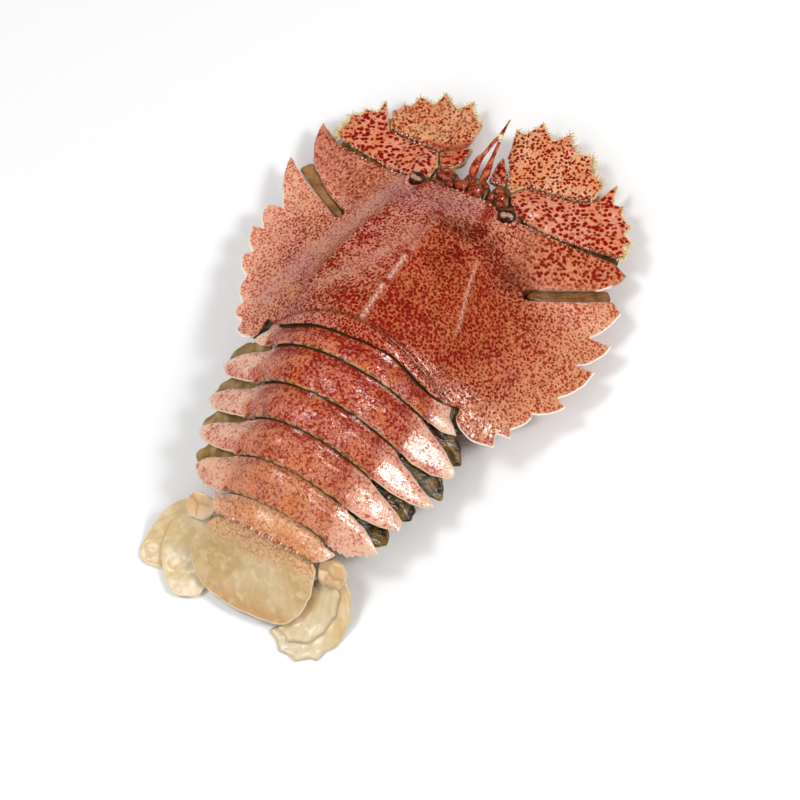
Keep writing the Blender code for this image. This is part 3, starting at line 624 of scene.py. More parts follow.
class Heap:
    """Small bodies gathered into one mesh."""

    def __init__(self):
        self.verts = []
        self.faces = []
        self.shades = []

    def add(self, verts, faces, shade):
        start = sum(len(group) for group in self.verts)
        self.verts.append(np.asarray(verts, float))
        self.faces += [[index + start for index in face] for face in faces]
        self.shades.append(np.full(len(verts), shade) if np.isscalar(shade) else np.asarray(shade))

    def bead(self, centre, radius, shade, rings, sides, shine=0.0):
        """A small ball, or an egg if the radius has three values; shine lightens its top as a painted
        highlight.
        """
        verts = [(0, 0, 1)]
        for i in range(1, rings):
            tilt = math.pi * i / rings
            wide = math.sin(tilt)
            for k in range(sides):
                turn = 2 * math.pi * k / sides
                verts.append((wide * math.cos(turn), wide * math.sin(turn), math.cos(tilt)))
        verts.append((0, 0, -1))
        faces = [(0, 1 + k, 1 + (k + 1) % sides) for k in range(sides)]
        for i in range(rings - 2):
            a = 1 + i * sides
            b = a + sides
            faces += [(a + k, b + k, b + (k + 1) % sides, a + (k + 1) % sides) for k in range(sides)]
        last = len(verts) - 1
        faces += [(last, last - sides + (k + 1) % sides, last - sides + k) for k in range(sides)]
        verts = np.array(verts)
        self.add(verts * radius + centre, faces, shade + shine * ramp(verts[:, 2], 0.7, 1.0))

    def limb(self, points, radii, sides, shade=0.0):
        """A round limb along its points, closed at both ends; shade is one value or one per point."""
        points = np.asarray(points, float)
        run = np.gradient(points, axis=0)
        run /= np.linalg.norm(run, axis=1)[:, None]
        across = np.cross(run, (0.0, 0.0, 1.0))
        across /= np.maximum(np.linalg.norm(across, axis=1), 1e-9)[:, None]
        up = np.cross(across, run)
        turn = 2 * math.pi * np.arange(sides) / sides
        circle = across[:, None] * np.cos(turn)[:, None] + up[:, None] * np.sin(turn)[:, None]
        verts = (points[:, None] + circle * np.asarray(radii)[:, None, None]).reshape(-1, 3)
        verts = np.vstack([verts, points[:1], points[-1:]])
        count = len(points)
        faces = []
        for i in range(count - 1):
            for k in range(sides):
                j = (k + 1) % sides
                faces.append((i * sides + k, i * sides + j, (i + 1) * sides + j, (i + 1) * sides + k))
        first = count * sides
        faces += [(first, (k + 1) % sides, k) for k in range(sides)]
        faces += [(first + 1, first - sides + k, first - sides + (k + 1) % sides) for k in range(sides)]
        if not np.isscalar(shade):
            shade = np.concatenate([np.repeat(shade, sides), [shade[0], shade[-1]]])
        self.add(verts, faces, shade)

    def piece(self, name):
        return mesh_piece(name, np.vstack(self.verts), self.faces, {"shade": np.concatenate(self.shades)})


def linear(red, green, blue):
    """A screen colour, 0 to 255, as the linear colour that shaders take."""
    values = [value / 255 for value in (red, green, blue)]
    return (*[v / 12.92 if v < 0.04045 else ((v + 0.055) / 1.055) ** 2.4 for v in values], 1.0)


class Finish:
    """One wet material, built from nodes that work in millimetres and take screen colours."""

    def __init__(self, name, roughness=0.5, coat=0.9, coat_roughness=0.09, glow=0.03, glow_scale=0.0006):
        self.material = bpy.data.materials.new(name)
        self.material.use_nodes = True
        self.tree = self.material.node_tree
        self.shader = self.tree.nodes["Principled BSDF"]
        for key, value in (
            ("Roughness", roughness), ("Specular IOR Level", 0.04), ("Coat Weight", coat),
            ("Coat Roughness", coat_roughness), ("Subsurface Weight", glow),
            ("Subsurface Radius", GLOW_REACH), ("Subsurface Scale", glow_scale),
        ):
            self.shader.inputs[key].default_value = value
        place = self.node("ShaderNodeTexCoord").outputs["Object"]
        scaled = self.node("ShaderNodeVectorMath", operation="SCALE")
        self.tree.links.new(place, scaled.inputs[0])
        scaled.inputs["Scale"].default_value = 1 / MM
        self.place = scaled.outputs[0]

    def node(self, kind, **settings):
        made = self.tree.nodes.new(kind)
        for key, value in settings.items():
            setattr(made, key, value)
        return made

    def feed(self, socket, value):
        """Link a socket, or set it to a number or to a colour of three values."""
        if isinstance(value, bpy.types.NodeSocket):
            self.tree.links.new(value, socket)
        else:
            socket.default_value = linear(*value) if isinstance(value, tuple) else value

    def turned(self, angle, stretch):
        """Coordinates turned about the vertical and then stretched, for streaks."""
        made = self.node("ShaderNodeMapping")
        self.feed(made.inputs["Vector"], self.place)
        made.inputs["Rotation"].default_value = (0.0, 0.0, math.radians(angle))
        again = self.node("ShaderNodeMapping")
        self.feed(again.inputs["Vector"], made.outputs[0])
        again.inputs["Scale"].default_value = stretch
        return again.outputs[0]

    def noise(self, scale, detail=2.0, roughness=0.5, distortion=0.0, place=None):
        made = self.node("ShaderNodeTexNoise")
        self.feed(made.inputs["Vector"], place or self.place)
        made.inputs["Scale"].default_value = scale
        made.inputs["Detail"].default_value = detail
        made.inputs["Roughness"].default_value = roughness
        made.inputs["Distortion"].default_value = distortion
        return made.outputs[0]

    def cells(self, scale, place=None):
        """Distance from the middle of the nearest cell."""
        made = self.node("ShaderNodeTexVoronoi")
        self.feed(made.inputs["Vector"], place or self.place)
        made.inputs["Scale"].default_value = scale
        return made.outputs["Distance"]

    def field(self, name):
        """A mark that the mesh carries, or 0 where it has none of that name."""
        return self.node("ShaderNodeAttribute", attribute_name=name).outputs["Fac"]

    def math(self, operation, first, second):
        made = self.node("ShaderNodeMath", operation=operation)
        self.feed(made.inputs[0], first)
        self.feed(made.inputs[1], second)
        return made.outputs[0]

    def times(self, first, second):
        return self.math("MULTIPLY", first, second)

    def plus(self, first, second):
        return self.math("ADD", first, second)

    def minus(self, first, second):
        return self.math("SUBTRACT", first, second)

    def larger(self, first, second):
        return self.math("MAXIMUM", first, second)

    def summed(self, total, *parts):
        """A total plus every value times its share."""
        for value, share in parts:
            total = self.plus(total, self.times(value, share))
        return total

    def uneven(self, scale, strength):
        """A noise around 0 of some strength."""
        return self.times(self.minus(self.noise(scale), 0.5), strength)

    def step(self, value, start, end, low=0.0, high=1.0):
        """Low below the start and high above the end, smooth between them."""
        made = self.node("ShaderNodeMapRange", interpolation_type="SMOOTHSTEP")
        for socket, given in zip(made.inputs, (value, start, end, low, high)):
            self.feed(socket, given)
        return made.outputs[0]

    def mix(self, share, first, second):
        made = self.node("ShaderNodeMix", data_type="RGBA")
        self.feed(made.inputs[0], share)
        self.feed(made.inputs[6], first)
        self.feed(made.inputs[7], second)
        return made.outputs[2]

    def tint(self, under, share, strength, over):
        """A colour with another one laid over it, by a share times a strength."""
        return self.mix(self.times(share, strength), under, over)

    def clouds(self, scale, detail, start, end, first, second):
        """Two colours in soft clouds."""
        return self.mix(self.step(self.noise(scale, detail), start, end), first, second)

    def specks(self, scale, cut, soft, place=None, detail=2.0, bias=None):
        """Irregular dots where a noise peaks; a bias above 0 makes more of them."""
        value = self.noise(scale, detail, 0.55, 0.3, place)
        if bias is not None:
            value = self.plus(value, bias)
        return self.step(value, cut - soft, cut + soft)

    def granules(self, scale):
        """Rounded grains of the shell, as a height between 0 and 1."""
        return self.step(self.cells(scale), 0.0, 0.55, 1.0, 0.0)

    def done(self, colour, *reliefs):
        """Join the colour and the reliefs, each a height from 0 to 1 and its depth in millimetres."""
        self.feed(self.shader.inputs["Base Color"], colour)
        normal = None
        for height, depth in reliefs:
            bump = self.node("ShaderNodeBump")
            bump.inputs["Strength"].default_value = 1.0
            bump.inputs["Distance"].default_value = depth * MM
            self.feed(bump.inputs["Height"], height)
            if normal is not None:
                self.feed(bump.inputs["Normal"], normal)
            normal = bump.outputs[0]
        self.feed(self.shader.inputs["Normal"], normal)
        self.feed(self.shader.inputs["Coat Normal"], normal)
        return self.material


def shell_finish():
    """Salmon shell with a net of dark red specks that thins out towards a pale brim."""
    f = Finish("carapace_shell")
    names = ("dense", "brim", "streak", "patch", "mauve", "brown", "warm", "lobe")
    dense, brim, streak, patch, mauve, brown, warm, lobe = (f.field(name) for name in names)
    base = f.clouds(0.09, 3.0, 0.38, 0.62, (218, 150, 114), (214, 142, 122))
    base = f.tint(base, warm, 0.7, (210, 140, 98))
    base = f.tint(base, brim, 0.75, f.mix(warm, (238, 186, 156), (216, 154, 112)))
    base = f.tint(base, dense, 0.9, f.clouds(0.12, 2.0, 0.42, 0.6, (202, 104, 64), (188, 106, 58)))
    base = f.tint(base, f.field("olive"), 0.5, (190, 130, 72))
    base = f.tint(base, lobe, 0.4, (216, 126, 84))
    base = f.tint(base, mauve, 0.7, (182, 124, 114))
    base = f.tint(base, brown, 0.85, (150, 84, 46))
    # How much of the shell the specks cover, more where this is higher
    amount = f.summed(
        f.uneven(0.2, 0.44), (dense, 0.10), (brim, -0.055), (streak, -0.04), (patch, 0.11), (mauve, 0.04),
        (brown, 0.10), (f.times(brim, warm), 0.035))
    spots = f.plus(f.cells(1.34), f.times(f.noise(1.5), 0.8))
    large = f.step(f.minus(spots, amount), 1.02, 0.66)
    drawn = f.turned(-58.0, (1.0, 0.5, 1.0))
    fine = f.specks(2.3, 0.56, 0.08, drawn, 1.0, f.times(amount, 0.4))
    mark = f.larger(large, f.times(fine, 0.6))
    dots = f.plus(f.cells(0.95), f.times(f.noise(1.2), 0.6))
    dots = f.larger(f.step(dots, 0.94, 0.66), f.times(fine, 0.5))
    mark = f.plus(f.times(mark, f.minus(1.0, lobe)), f.times(dots, lobe))
    pale_ink = f.mix(f.noise(0.5), (206, 92, 60), (186, 66, 42))
    pale_ink = f.mix(warm, pale_ink, (158, 44, 24))
    deep_ink = f.mix(f.noise(0.3), (148, 26, 8), (108, 2, 0))
    deep_ink = f.tint(deep_ink, streak, 0.6, (160, 60, 50))
    ink = f.tint(f.mix(brim, deep_ink, pale_ink), brown, 0.9, (76, 12, 2))
    colour = f.mix(mark, base, ink)
    hairs = f.specks(1.0, 0.52, 0.12, f.turned(-62.0, (2.8, 0.16, 1.0)))
    pale = f.times(hairs, f.larger(streak, f.times(mauve, 0.5)))
    colour = f.tint(colour, pale, 0.75, (206, 158, 150))
    colour = f.tint(colour, f.field("groove"), 0.75, (104, 42, 26))
    colour = f.tint(colour, f.field("crest"), f.step(f.noise(1.6), 0.38, 0.58, 0.2, 0.95), (236, 184, 162))
    colour = f.mix(f.field("point"), colour, (146, 20, 10))
    edge = f.step(brim, 0.05, 0.4, 0.0, 0.6)
    colour = f.tint(colour, f.step(f.field("margin"), 0.45, 0.1), edge, (240, 208, 178))
    # Painted highlight: near white along the rim's edges that face out and back.
    colour = f.mix(f.field("rim"), colour, (255, 246, 236))
    # Painted shade: dark brown along the cleft edges and at their inner ends.
    colour = f.mix(f.field("hollow"), colour, (70, 40, 18))
    f.feed(f.shader.inputs["Coat Weight"], f.times(f.field("wet"), 0.9))
    return f.done(colour, (f.granules(1.5), 0.08), (f.noise(2.6, 3.0), 0.03), (f.noise(0.35), 0.12))


def back_finish(number, red, tan):
    """A back plate: painted shade, dark red, just behind the plate before it; paler blades, orange stains."""
    f = Finish(f"back_plate_{number}", coat_roughness=0.10)
    behind = f.field("behind")
    blade = f.field("blade")
    tip = f.field("tip")
    base = f.clouds(0.16, 3.0, 0.40, 0.60, (212, 128, 104), (208, 120, 78))
    base = f.mix(tan, base, (234, 184, 142))
    base = f.mix(blade, base, (240, 190, 162))
    base = f.tint(base, tip, 0.8, (240, 206, 176))
    mauve = f.step(f.noise(0.2, 2.0, 0.6, 0.4), 0.5, 0.62)
    base = f.tint(base, mauve, 0.4 * (1 - tan), (208, 134, 130))
    stain = f.step(f.noise(0.13, 2.0, 0.6, 0.6), 0.54, 0.62)
    stain = f.larger(f.times(stain, f.minus(1.0, f.times(blade, 0.7))), f.field("stain"))
    base = f.tint(base, stain, 0.38, (222, 120, 58))
    # The band is painted shade: the strip behind the plate in front, darker red and with more specks.
    band = f.times(f.step(behind, 4.0, 1.2), f.step(blade, 0.4, 0.0))
    amount = f.summed(f.uneven(0.2, 0.30), (blade, -0.04), (tip, -0.08), (band, 0.05 * red))
    amount = f.plus(amount, 0.10 * red - 0.05)
    fine = f.times(f.specks(2.3, 0.58, 0.07, bias=amount), 0.7)
    mark = f.larger(f.specks(1.25, 0.56, 0.08, bias=amount), fine)
    ink = f.mix(f.noise(0.35), (156, 24, 14), (122, 6, 0))
    ink = f.mix(blade, ink, (190, 84, 74))
    ink = f.mix(0.85 * tan, ink, (196, 116, 72))
    colour = f.tint(base, mark, 0.96, ink)
    colour = f.tint(colour, f.specks(1.5, 0.52, 0.08), 0.5 * tan, (196, 108, 62))
    # Painted shade, dark red, behind the plate in front.
    colour = f.tint(colour, band, 0.10 * red, (134, 26, 12))
    colour = f.tint(colour, f.field("fold"), f.step(f.noise(0.6), 0.35, 0.65, 0.15, 0.6), (230, 160, 118))
    # A dark olive line just behind the plate in front: the seam's membrane, darkened as painted shade.
    colour = f.mix(f.step(behind, 0.5, 0.2), colour, (70, 52, 28))
    line = f.clouds(0.7, 2.0, 0.42, 0.58, (96, 76, 46), (196, 148, 104))
    colour = f.tint(colour, f.field("rim"), 0.85, line)
    colour = f.tint(colour, f.step(f.field("margin"), 0.4, 0.12), blade, (242, 214, 190))
    f.feed(f.shader.inputs["Coat Weight"], f.plus(f.times(blade, 0.5), 0.4))
    return f.done(colour, (f.granules(1.45), 0.036), (f.noise(0.5), 0.05), (f.noise(3.0), 0.012))


# Antenna plates by kind: two colours, then how close and how large their blotches are
ANTENNA_LOOKS = {
    "broad": ((228, 152, 122), (222, 136, 98), 0.90, 0.62),
    "fan": ((232, 172, 130), (226, 148, 102), 1.10, 0.58),
    "inner": ((218, 138, 112), (206, 112, 76), 0.84, 0.66),
}


def antenna_finish(kind):
    """Antenna plates: large blotches near the mouth, small dots on the fans, a thin pale rim."""
    f = Finish(f"antenna_{kind}", coat=0.25, coat_roughness=0.12)
    near, far, scale, size = ANTENNA_LOOKS[kind]
    margin = f.field("margin")
    tan = f.field("tan")
    base = f.clouds(0.14, 3.0, 0.4, 0.6, near, far)
    base = f.mix(f.step(margin, 0.34, 0.06), base, (236, 204, 150))
    # tan, on the left fan only: a painted shade that browns the ground and weakens the blotches.
    base = f.mix(tan, base, (202, 142, 96))
    drawn = f.turned(-20.0, (0.85, 1.0, 1.0)) if kind == "broad" else None
    spots = f.plus(f.cells(scale, drawn), f.times(f.noise(1.0), 0.5))
    spots = f.step(spots, size + 0.24, size + 0.01)
    mark = f.larger(spots, f.times(f.specks(1.5, 0.60, 0.05), 0.6))
    mark = f.times(mark, f.step(margin, 0.1, 0.5, 0.4, 1.0))
    ink = f.mix(f.noise(0.4), (156, 22, 4), (112, 2, 0))
    colour = f.tint(base, mark, f.step(tan, 0.0, 1.0, 1.0, 0.6), ink)
    colour = f.tint(colour, f.field("red"), 0.75, (150, 28, 8))
    colour = f.mix(f.field("spot"), colour, (40, 20, 8))
    return f.done(colour, (f.granules(1.1), 0.05), (f.noise(2.2, 3.0), 0.03), (f.noise(0.4), 0.12))


# Parts of the tail: two colours, the colour of its end, and how strong its lines are
TAIL_LOOKS = {
    "telson": ((218, 192, 150), (202, 168, 116), (204, 160, 112), 0.10),
    "fan": ((232, 210, 176), (222, 192, 142), (238, 214, 186), 0.15),
    "joint": ((232, 204, 166), (216, 178, 132), (232, 206, 166), 0.0),
}


def tail_finish(kind):
    """Translucent tail fan: tan and grainy at the root, olive cream further out, finely lined."""
    f = Finish(f"tail_{kind}", roughness=0.35, coat=0.5, coat_roughness=0.18, glow=0.35, glow_scale=0.002)
    pale, deep, far, line = TAIL_LOOKS[kind]
    along = f.field("along")
    base = f.clouds(0.13, 3.0, 0.36, 0.66, pale, deep)
    base = f.mix(f.step(along, 0.78, 1.0), base, far)
    base = f.tint(base, f.step(f.noise(0.3, 2.0, 0.5, 0.9), 0.50, 0.70), 0.45, (236, 218, 182))
    base = f.tint(base, f.field("lines"), line, (176, 132, 84))
    if kind == "telson":
        root = f.step(f.plus(along, f.times(f.noise(0.3), 0.3)), 0.66, 0.44)
        base = f.mix(root, base, (232, 188, 142))
        base = f.tint(base, f.times(f.specks(1.4, 0.52, 0.08), root), 0.65, (176, 96, 56))
        # Paler tops of the root's grains: partly the grains' own colour, partly painted glints.
        base = f.tint(base, f.times(f.step(f.cells(1.1), 0.28, 0.12), root), 0.6, (244, 220, 186))
    base = f.tint(base, f.field("crease"), 0.5, (184, 116, 62))
    base = f.mix(f.step(f.field("margin"), 0.35, 0.1), base, (238, 218, 184))
    return f.done(base, (f.granules(1.2), 0.03), (f.noise(0.5), 0.1), (f.noise(3.0), 0.015))


def soft_finish(name, light, dark, glow=0.3, coat=1.0):
    """Wet skin or flesh with fine folds."""
    f = Finish(name, roughness=0.3, coat=coat, coat_roughness=0.08, glow=glow, glow_scale=0.0015)
    base = f.clouds(0.35, 3.0, 0.35, 0.65, light, dark)
    folds = f.noise(0.9, 3.0, 0.6, 0.8, f.turned(-25.0, (0.4, 1.6, 1.0)))
    base = f.mix(f.step(folds, 0.55, 0.75, 0.0, 0.5), base, dark)
    return f.done(base, (folds, 0.25), (f.noise(3.0), 0.03))


def grain_finish(name, light, dark, coat=0.9):
    """Small hard bits, such as beads, spines and stalk knobs: dark at shade 0, light at 1."""
    f = Finish(name, roughness=0.3, coat=coat, coat_roughness=0.08)
    share = f.plus(f.field("shade"), f.uneven(0.8, 0.9))
    return f.done(f.mix(f.step(share, 0.1, 0.9), dark, light), (f.granules(2.2), 0.06))


def limb_finish():
    """Legs and chest: pale orange with red bands and dots."""
    f = Finish("legs")
    base = f.clouds(0.2, 3.0, 0.4, 0.6, (228, 178, 130), (216, 140, 92))
    base = f.tint(base, f.specks(1.0, 0.6, 0.06), 0.7, (178, 60, 34))
    base = f.tint(base, f.step(f.noise(0.35, 1.0), 0.58, 0.66), 0.5, (170, 52, 34))
    return f.done(base, (f.granules(1.5), 0.05), (f.noise(0.6), 0.2))


# Marks on the shell's plan: teeth of the middle keel, front to rear, with their heights, and where
# the keel starts and ends
KEEL_TEETH = ((43.2, 1.7), (28.8, 1.3), (18.6, 1.2))
KEEL_START = (5.0, 8.0)
KEEL_END = (44.0, 47.0)

# Right and left: the side ridges, then the ridges and the knobs behind the eyes
RIDGES = (((20.4, 16.6), (15.0, 35.8)), ((-19.8, 12.7), (-15.4, 36.3)))
BROW_RIDGES = (
    ((8.5, 54.1), (9.3, 50.8), (9.8, 47.4), (10.9, 45.3)),
    ((-10.5, 54.0), (-9.6, 50.0), (-10.3, 46.9), (-11.6, 45.2)),
)
BROW_WIDTH = 1.5
BROW_KNOBS = ((8.8, 52.6), (9.4, 50.4), (9.9, 48.4), (-9.4, 51.4), (-10.2, 49.2))

# A bent line right of the keel, and the groove before the shell's rear band: its place on the
# keel, how far its ends bend back, and its half length
BEND = ((9.9, 26.2), (12.8, 19.6), (15.9, 15.6), (19.1, 13.6), (20.5, 15.6))
GROOVE = (6.3, 5.5, 24.0)

# The swollen rear right corner: its place, height and size
CORNER = (31.8, 2.2)
CORNER_RISE = 1.2
CORNER_SIZE = 4.6

# The clefts: their inner ends, and the line of the right one
CLEFT_ENDS = ((27.2, 36.3), (-27.2, 36.4))
CLEFT_LINE = ((27.0, 36.5), (40.0, 44.6))

# The near-white painted highlight on the shell's pale rim, right and left: the way that its edges face, and
# its width. A step that way tells how squarely an edge faces
RIM_FACING = ((0.45, -0.9), (-0.85, -0.5))
RIM_WIDTH = (0.25, 0.5)
RIM_STEP = 0.15

# Stripes that colour the shell: a path, a width and a strength
SHELL_STRIPES = {
    "streak": (
        (((-34.0, 5.0), (-28.5, 19.0), (-22.5, 33.5), (-15.5, 52.0)), 3.4, 1.0),
        (((-16.5, 13.0), (-13.0, 16.4), (-8.8, 21.4), (-5.0, 28.4), (-3.0, 36.0)), 2.0, 0.75),
    ),
    "patch": (
        (((-18.5, 12.0), (-17.0, 25.0), (-15.0, 37.0)), 3.2, 1.0),
        (((-18.5, 5.5), (-12.0, 9.0), (-3.5, 13.0)), 2.6, 1.1),
        (BROW_RIDGES[0], BROW_WIDTH, 1.3),
        (BROW_RIDGES[1], BROW_WIDTH, 1.3),
    ),
    "mauve": ((((-17.0, 46.0), (-9.0, 46.5), (4.0, 49.0)), 4.2, 1.0),),
    "brown": ((((3.4, 41.8), (10.5, 42.5)), 3.4, 0.9),),
    "olive": ((BEND, 0.8, 1.0),),
}

# Ovals of the same colours: a middle, two half widths and a strength
SHELL_OVALS = {
    "patch": (((6.5, 10.0), (11.0, 5.0), 1.0),),
    "brown": (
        ((23.0, 38.0), (4.8, 4.8), 0.85), ((8.0, 34.0), (5.0, 5.0), 0.5), ((15.0, 41.0), (4.0, 4.0), 0.5),
    ),
    "olive": (((0.2, 8.0), (1.4, 1.4 / 0.6), 1.0),),
}


def beside(x, y, path):
    """Distance from a path of straight stretches, and how far along it each point lies."""
    best = np.full_like(x, 1e9)
    along = np.zeros_like(x)
    done = 0.0
    for start, end in zip(path, path[1:]):
        run = np.subtract(end, start)
        length = np.hypot(*run)
        t = np.clip(((x - start[0]) * run[0] + (y - start[1]) * run[1]) / length ** 2, 0, 1)
        gap = np.hypot(x - start[0] - t * run[0], y - start[1] - t * run[1])
        along = np.where(gap < best, done + t * length, along)
        best = np.minimum(best, gap)
        done += length
    return best, along


def stripe(x, y, path, width):
    """1 on a path, fading to both sides over the width."""
    return bell(beside(x, y, path)[0], width)


def spot(x, y, place, size):
    """1 at a place, fading all round over the size."""
    return bell(np.hypot(x - place[0], y - place[1]), size)


def shell_colour(name, x, y):
    """How strongly the stripes and ovals of one colour mark the shell."""
    marks = [strength * stripe(x, y, path, width) for path, width, strength in SHELL_STRIPES[name]]
    for place, (wide, long), strength in SHELL_OVALS.get(name, ()):
        away = np.hypot((x - place[0]) / wide, (y - place[1]) / long)
        marks.append(strength * bell(away, 1.0))
    return np.maximum.reduce(marks)


def shell_groove(x, y):
    """The curved groove in front of the shell's rear band."""
    middle, bend, reach = GROOVE
    line = middle - bend * (x / reach) ** 2
    return bell(y - line, 0.55) * (1 - ramp(np.abs(x), reach + 1.0, reach + 6.0))


def shell_brim(x, y, inside):
    """1 on the pale outer teeth of both sides, 0 on the dome and at the front and rear edges."""
    out = np.abs(x)
    margin = ramp(-inside, -7.0, -0.5) * ramp(out, 27.0, 31.0)
    return (0.6 * ramp(out, 31.0, 45.0) + 0.4 * margin) * (1 - 0.75 * ramp(y, 44.0, 50.0))


def shell_cleft(x, y):
    """1 beside the two clefts."""
    return 1 - ramp(beside(np.abs(x), y, CLEFT_LINE)[0], 2.0, 3.0)


def shell_highlight_rim(x, y, inside, outline):
    """1 along edges that face outwards and back: a painted highlight, near white, over the shell's pale rim.
    """
    rim = np.zeros_like(x)
    near = np.flatnonzero((inside < 1.6) & (np.abs(x) > 26.0) & (y < 50.0))
    right = x[near] > 0
    moved = np.stack([x[near], y[near]], -1) + RIM_STEP * np.where(right[:, None], *RIM_FACING)
    facing = (inside[near] - clearance(moved, outline)) / RIM_STEP
    width = np.where(right, *RIM_WIDTH)
    rim[near] = ramp(facing, 0.0, 0.45) * (1 - ramp(inside[near] - width, 0.0, 0.17))
    fade = np.where(x > 0, 1.0, 0.85 * (1 - ramp(y, 34.0, 44.0)))
    return rim * fade * (1 - shell_cleft(x, y)) * ramp(np.abs(x), 29.0, 30.0)


def shell_wet(x, y):
    """1 where water stands on the shell: its rear right edge, and the top of its keel."""
    rear = (1 - ramp(y, 4.6, 7.4)) * ramp(x, 6.0, 12.0) * (1 - 0.75 * bell(x - 31.5, 2.6) * ramp(y, 0.5, 2.0))
    rear = rear * (1 - 0.8 * ramp(x, 34.0, 37.0) * ramp(y, 0.5, 2.5))
    return np.maximum(rear, 0.5 * bell(x, 0.7) * ramp(y, 6.0, 9.0) * (1 - ramp(y, 31.0, 35.0)))


def shell_dense(x, y):
    """How dark the middle of the shell is: most on the right of the keel."""
    wide = np.where(x > 7.0, 36.0, 29.0)
    near = 1 - ramp(np.hypot((x - 7.0) / wide, (y - 21.0) / 27.0), 0.45, 1.1)
    return near * (0.35 + 0.65 * np.maximum(ramp(x, -5.0, 1.5), 1 - ramp(y, 8.0, 16.0)))


def shell_painted_cleft_shade(x, y, inside):
    """Painted shade along the edges of the two clefts, darkest at their inner ends."""
    ends = [spot(x, y, end, 1.6) for end in CLEFT_ENDS]
    return np.maximum.reduce([*ends, 0.7 * shell_cleft(x, y)]) * (inside < 0.3)


def shell_lobe(x, y):
    """1 on both front lobes, whose dots are larger."""
    return np.where(x > 0, 1.0, 0.6) * ramp(np.abs(x), 18.0, 27.0) * ramp(y - 0.45 * np.abs(x), 25.0, 31.0)


def shell_crest(x, y):
    """The pale granular top of the keel and of the right side ridge."""
    keel = bell(x, 0.7) * ramp(y, 6.0, 7.5) * (1 - 0.7 * ramp(y, 29.0, 33.0)) * (1 - ramp(y, 42.0, 43.5))
    return np.maximum(keel, 0.7 * stripe(x, y, RIDGES[0], 0.32))


def shell_point(x, y):
    """The red tips of the keel's teeth and of the knobs beside the eyes."""
    tips = [1 - ramp(np.hypot(x, y - tooth + 0.3), 0.4, 1.6) for tooth, _ in KEEL_TEETH]
    knobs = [0.85 - 0.85 * ramp(np.hypot(x - a, y - b), 0.3, 1.8) for a, b in BROW_KNOBS]
    return np.maximum.reduce(tips + knobs)


def shell_marks(x, y, inside, outline):
    """Everything that colours the shell, by the names that its finish reads."""
    return {
        "brim": shell_brim(x, y, inside),
        # rim: the painted highlight along the shell's edges
        "rim": shell_highlight_rim(x, y, inside, outline),
        "dense": shell_dense(x, y),
        "lobe": shell_lobe(x, y),
        "warm": ramp(x, 4.0, 30.0) * (1 - 0.9 * bell(y - 39.0, 4.0)),
        "groove": shell_groove(x, y),
        "crest": shell_crest(x, y),
        "point": shell_point(x, y),
        "wet": shell_wet(x, y),
        "hollow": shell_painted_cleft_shade(x, y, inside),
        **{name: shell_colour(name, x, y) for name in SHELL_STRIPES},
    }


def keel_height(x, y):
    """The middle keel with its forward teeth."""
    height = 0.4 * ramp(y, *KEEL_START) * (1 - ramp(y, *KEEL_END)) * bell(x, 0.8)
    for tooth, rise in KEEL_TEETH:
        ahead = y - tooth
        point = np.where(ahead < 0, ramp(ahead, -4.2, 0.0), 1 - ramp(ahead, 0.0, 1.0))
        height = height + rise * point * bell(x, 0.95 + 0.4 * np.clip(-ahead, 0, 3))
    return height


def shell_relief(x, y, inside):
    """Height of the keel, ridges, knobs, grooves and waves over the smooth dome."""
    height = keel_height(x, y) - 0.5 * shell_groove(x, y)
    for ridge in RIDGES:
        away, along = beside(x, y, ridge)
        height = height + bell(away, 0.7) * (0.4 + 0.3 * (along / 1.6 % 1.0))
    for knob in BROW_KNOBS:
        height = height + 0.9 * spot(x, y, knob, 1.2)
    for ridge in BROW_RIDGES:
        height = height + 0.7 * stripe(x, y, ridge, BROW_WIDTH)
    height = height - 0.25 * stripe(x, y, BEND, 0.6)
    height = height + 0.16 * (shell_groove(x, y - 1.4) + shell_groove(x, y + 1.6))
    height = height + CORNER_RISE * spot(x, y, CORNER, CORNER_SIZE)
    height = height + 0.16 * ripple(x, y, 8.0, 3) + 0.05 * ripple(x, y, 2.4, 4)
    return height + 0.16 * bell(inside - 0.8, 0.6) * ramp(np.abs(x), 28.0, 34.0)


def shell_depth(x, y):
    return carapace_top(x, y) - carapace_under(x, y)


def build_shell():
    outline = evened(CARAPACE_OUTLINE, 0.32, 0.22, 0.07, 1)
    piece = plate(
        "shell", outline, lifted(carapace_top), shell_depth, 0.55, shell_relief,
        lambda x, y, inside: shell_marks(x, y, inside, outline))
    dress(piece, shell_finish(), "shell", "carapace")


# The skin in the clefts: its outlines, light and dark colours, and how far it reaches under the shell
CLEFT_SKINS = {
    "right": (CLEFT_RIGHT, (136, 86, 42), (98, 56, 20)),
    "left": (CLEFT_LEFT, (166, 120, 76), (122, 82, 44)),
}
SKIN_TUCK = 0.5


def build_cleft_skins():
    def folds(x, y, inside):
        return 0.1 * ripple(x * 0.6 - y * 0.9, x * 0.1, 1.3, 5)

    for word, (corners, light, dark) in CLEFT_SKINS.items():
        outline = evened(corners, 0.4, 0.3)
        outline = outline + outwards(outline) * SKIN_TUCK
        piece = plate(
            f"skin_of_{word}_cleft", outline, lifted(lambda x, y: carapace_top(x, y) - SKIN_TOP),
            SKIN_UNDER - SKIN_TOP, 0.6, folds)
        dress(piece, soft_finish(f"{word}_cleft_skin", light, dark, 0.1, 0.25), "skin", f"cleft_skin_{word}")


# The shell's rear edge, left to right
SHELL_REAR = ((-25.0, -0.1), (-21.2, -0.4), (-9.6, 0.9), (0.0, 1.3), (11.0, 2.0), (21.0, -0.4), (25.0, -0.2))

# How dark red each back plate is, in its specks and in the painted shade behind the plate in front, and how
# tan, front to rear
BACK_LOOKS = ((0.9, 0.0), (0.95, 0.0), (0.9, 0.05), (0.75, 0.15), (0.45, 0.35), (0.1, 0.95))

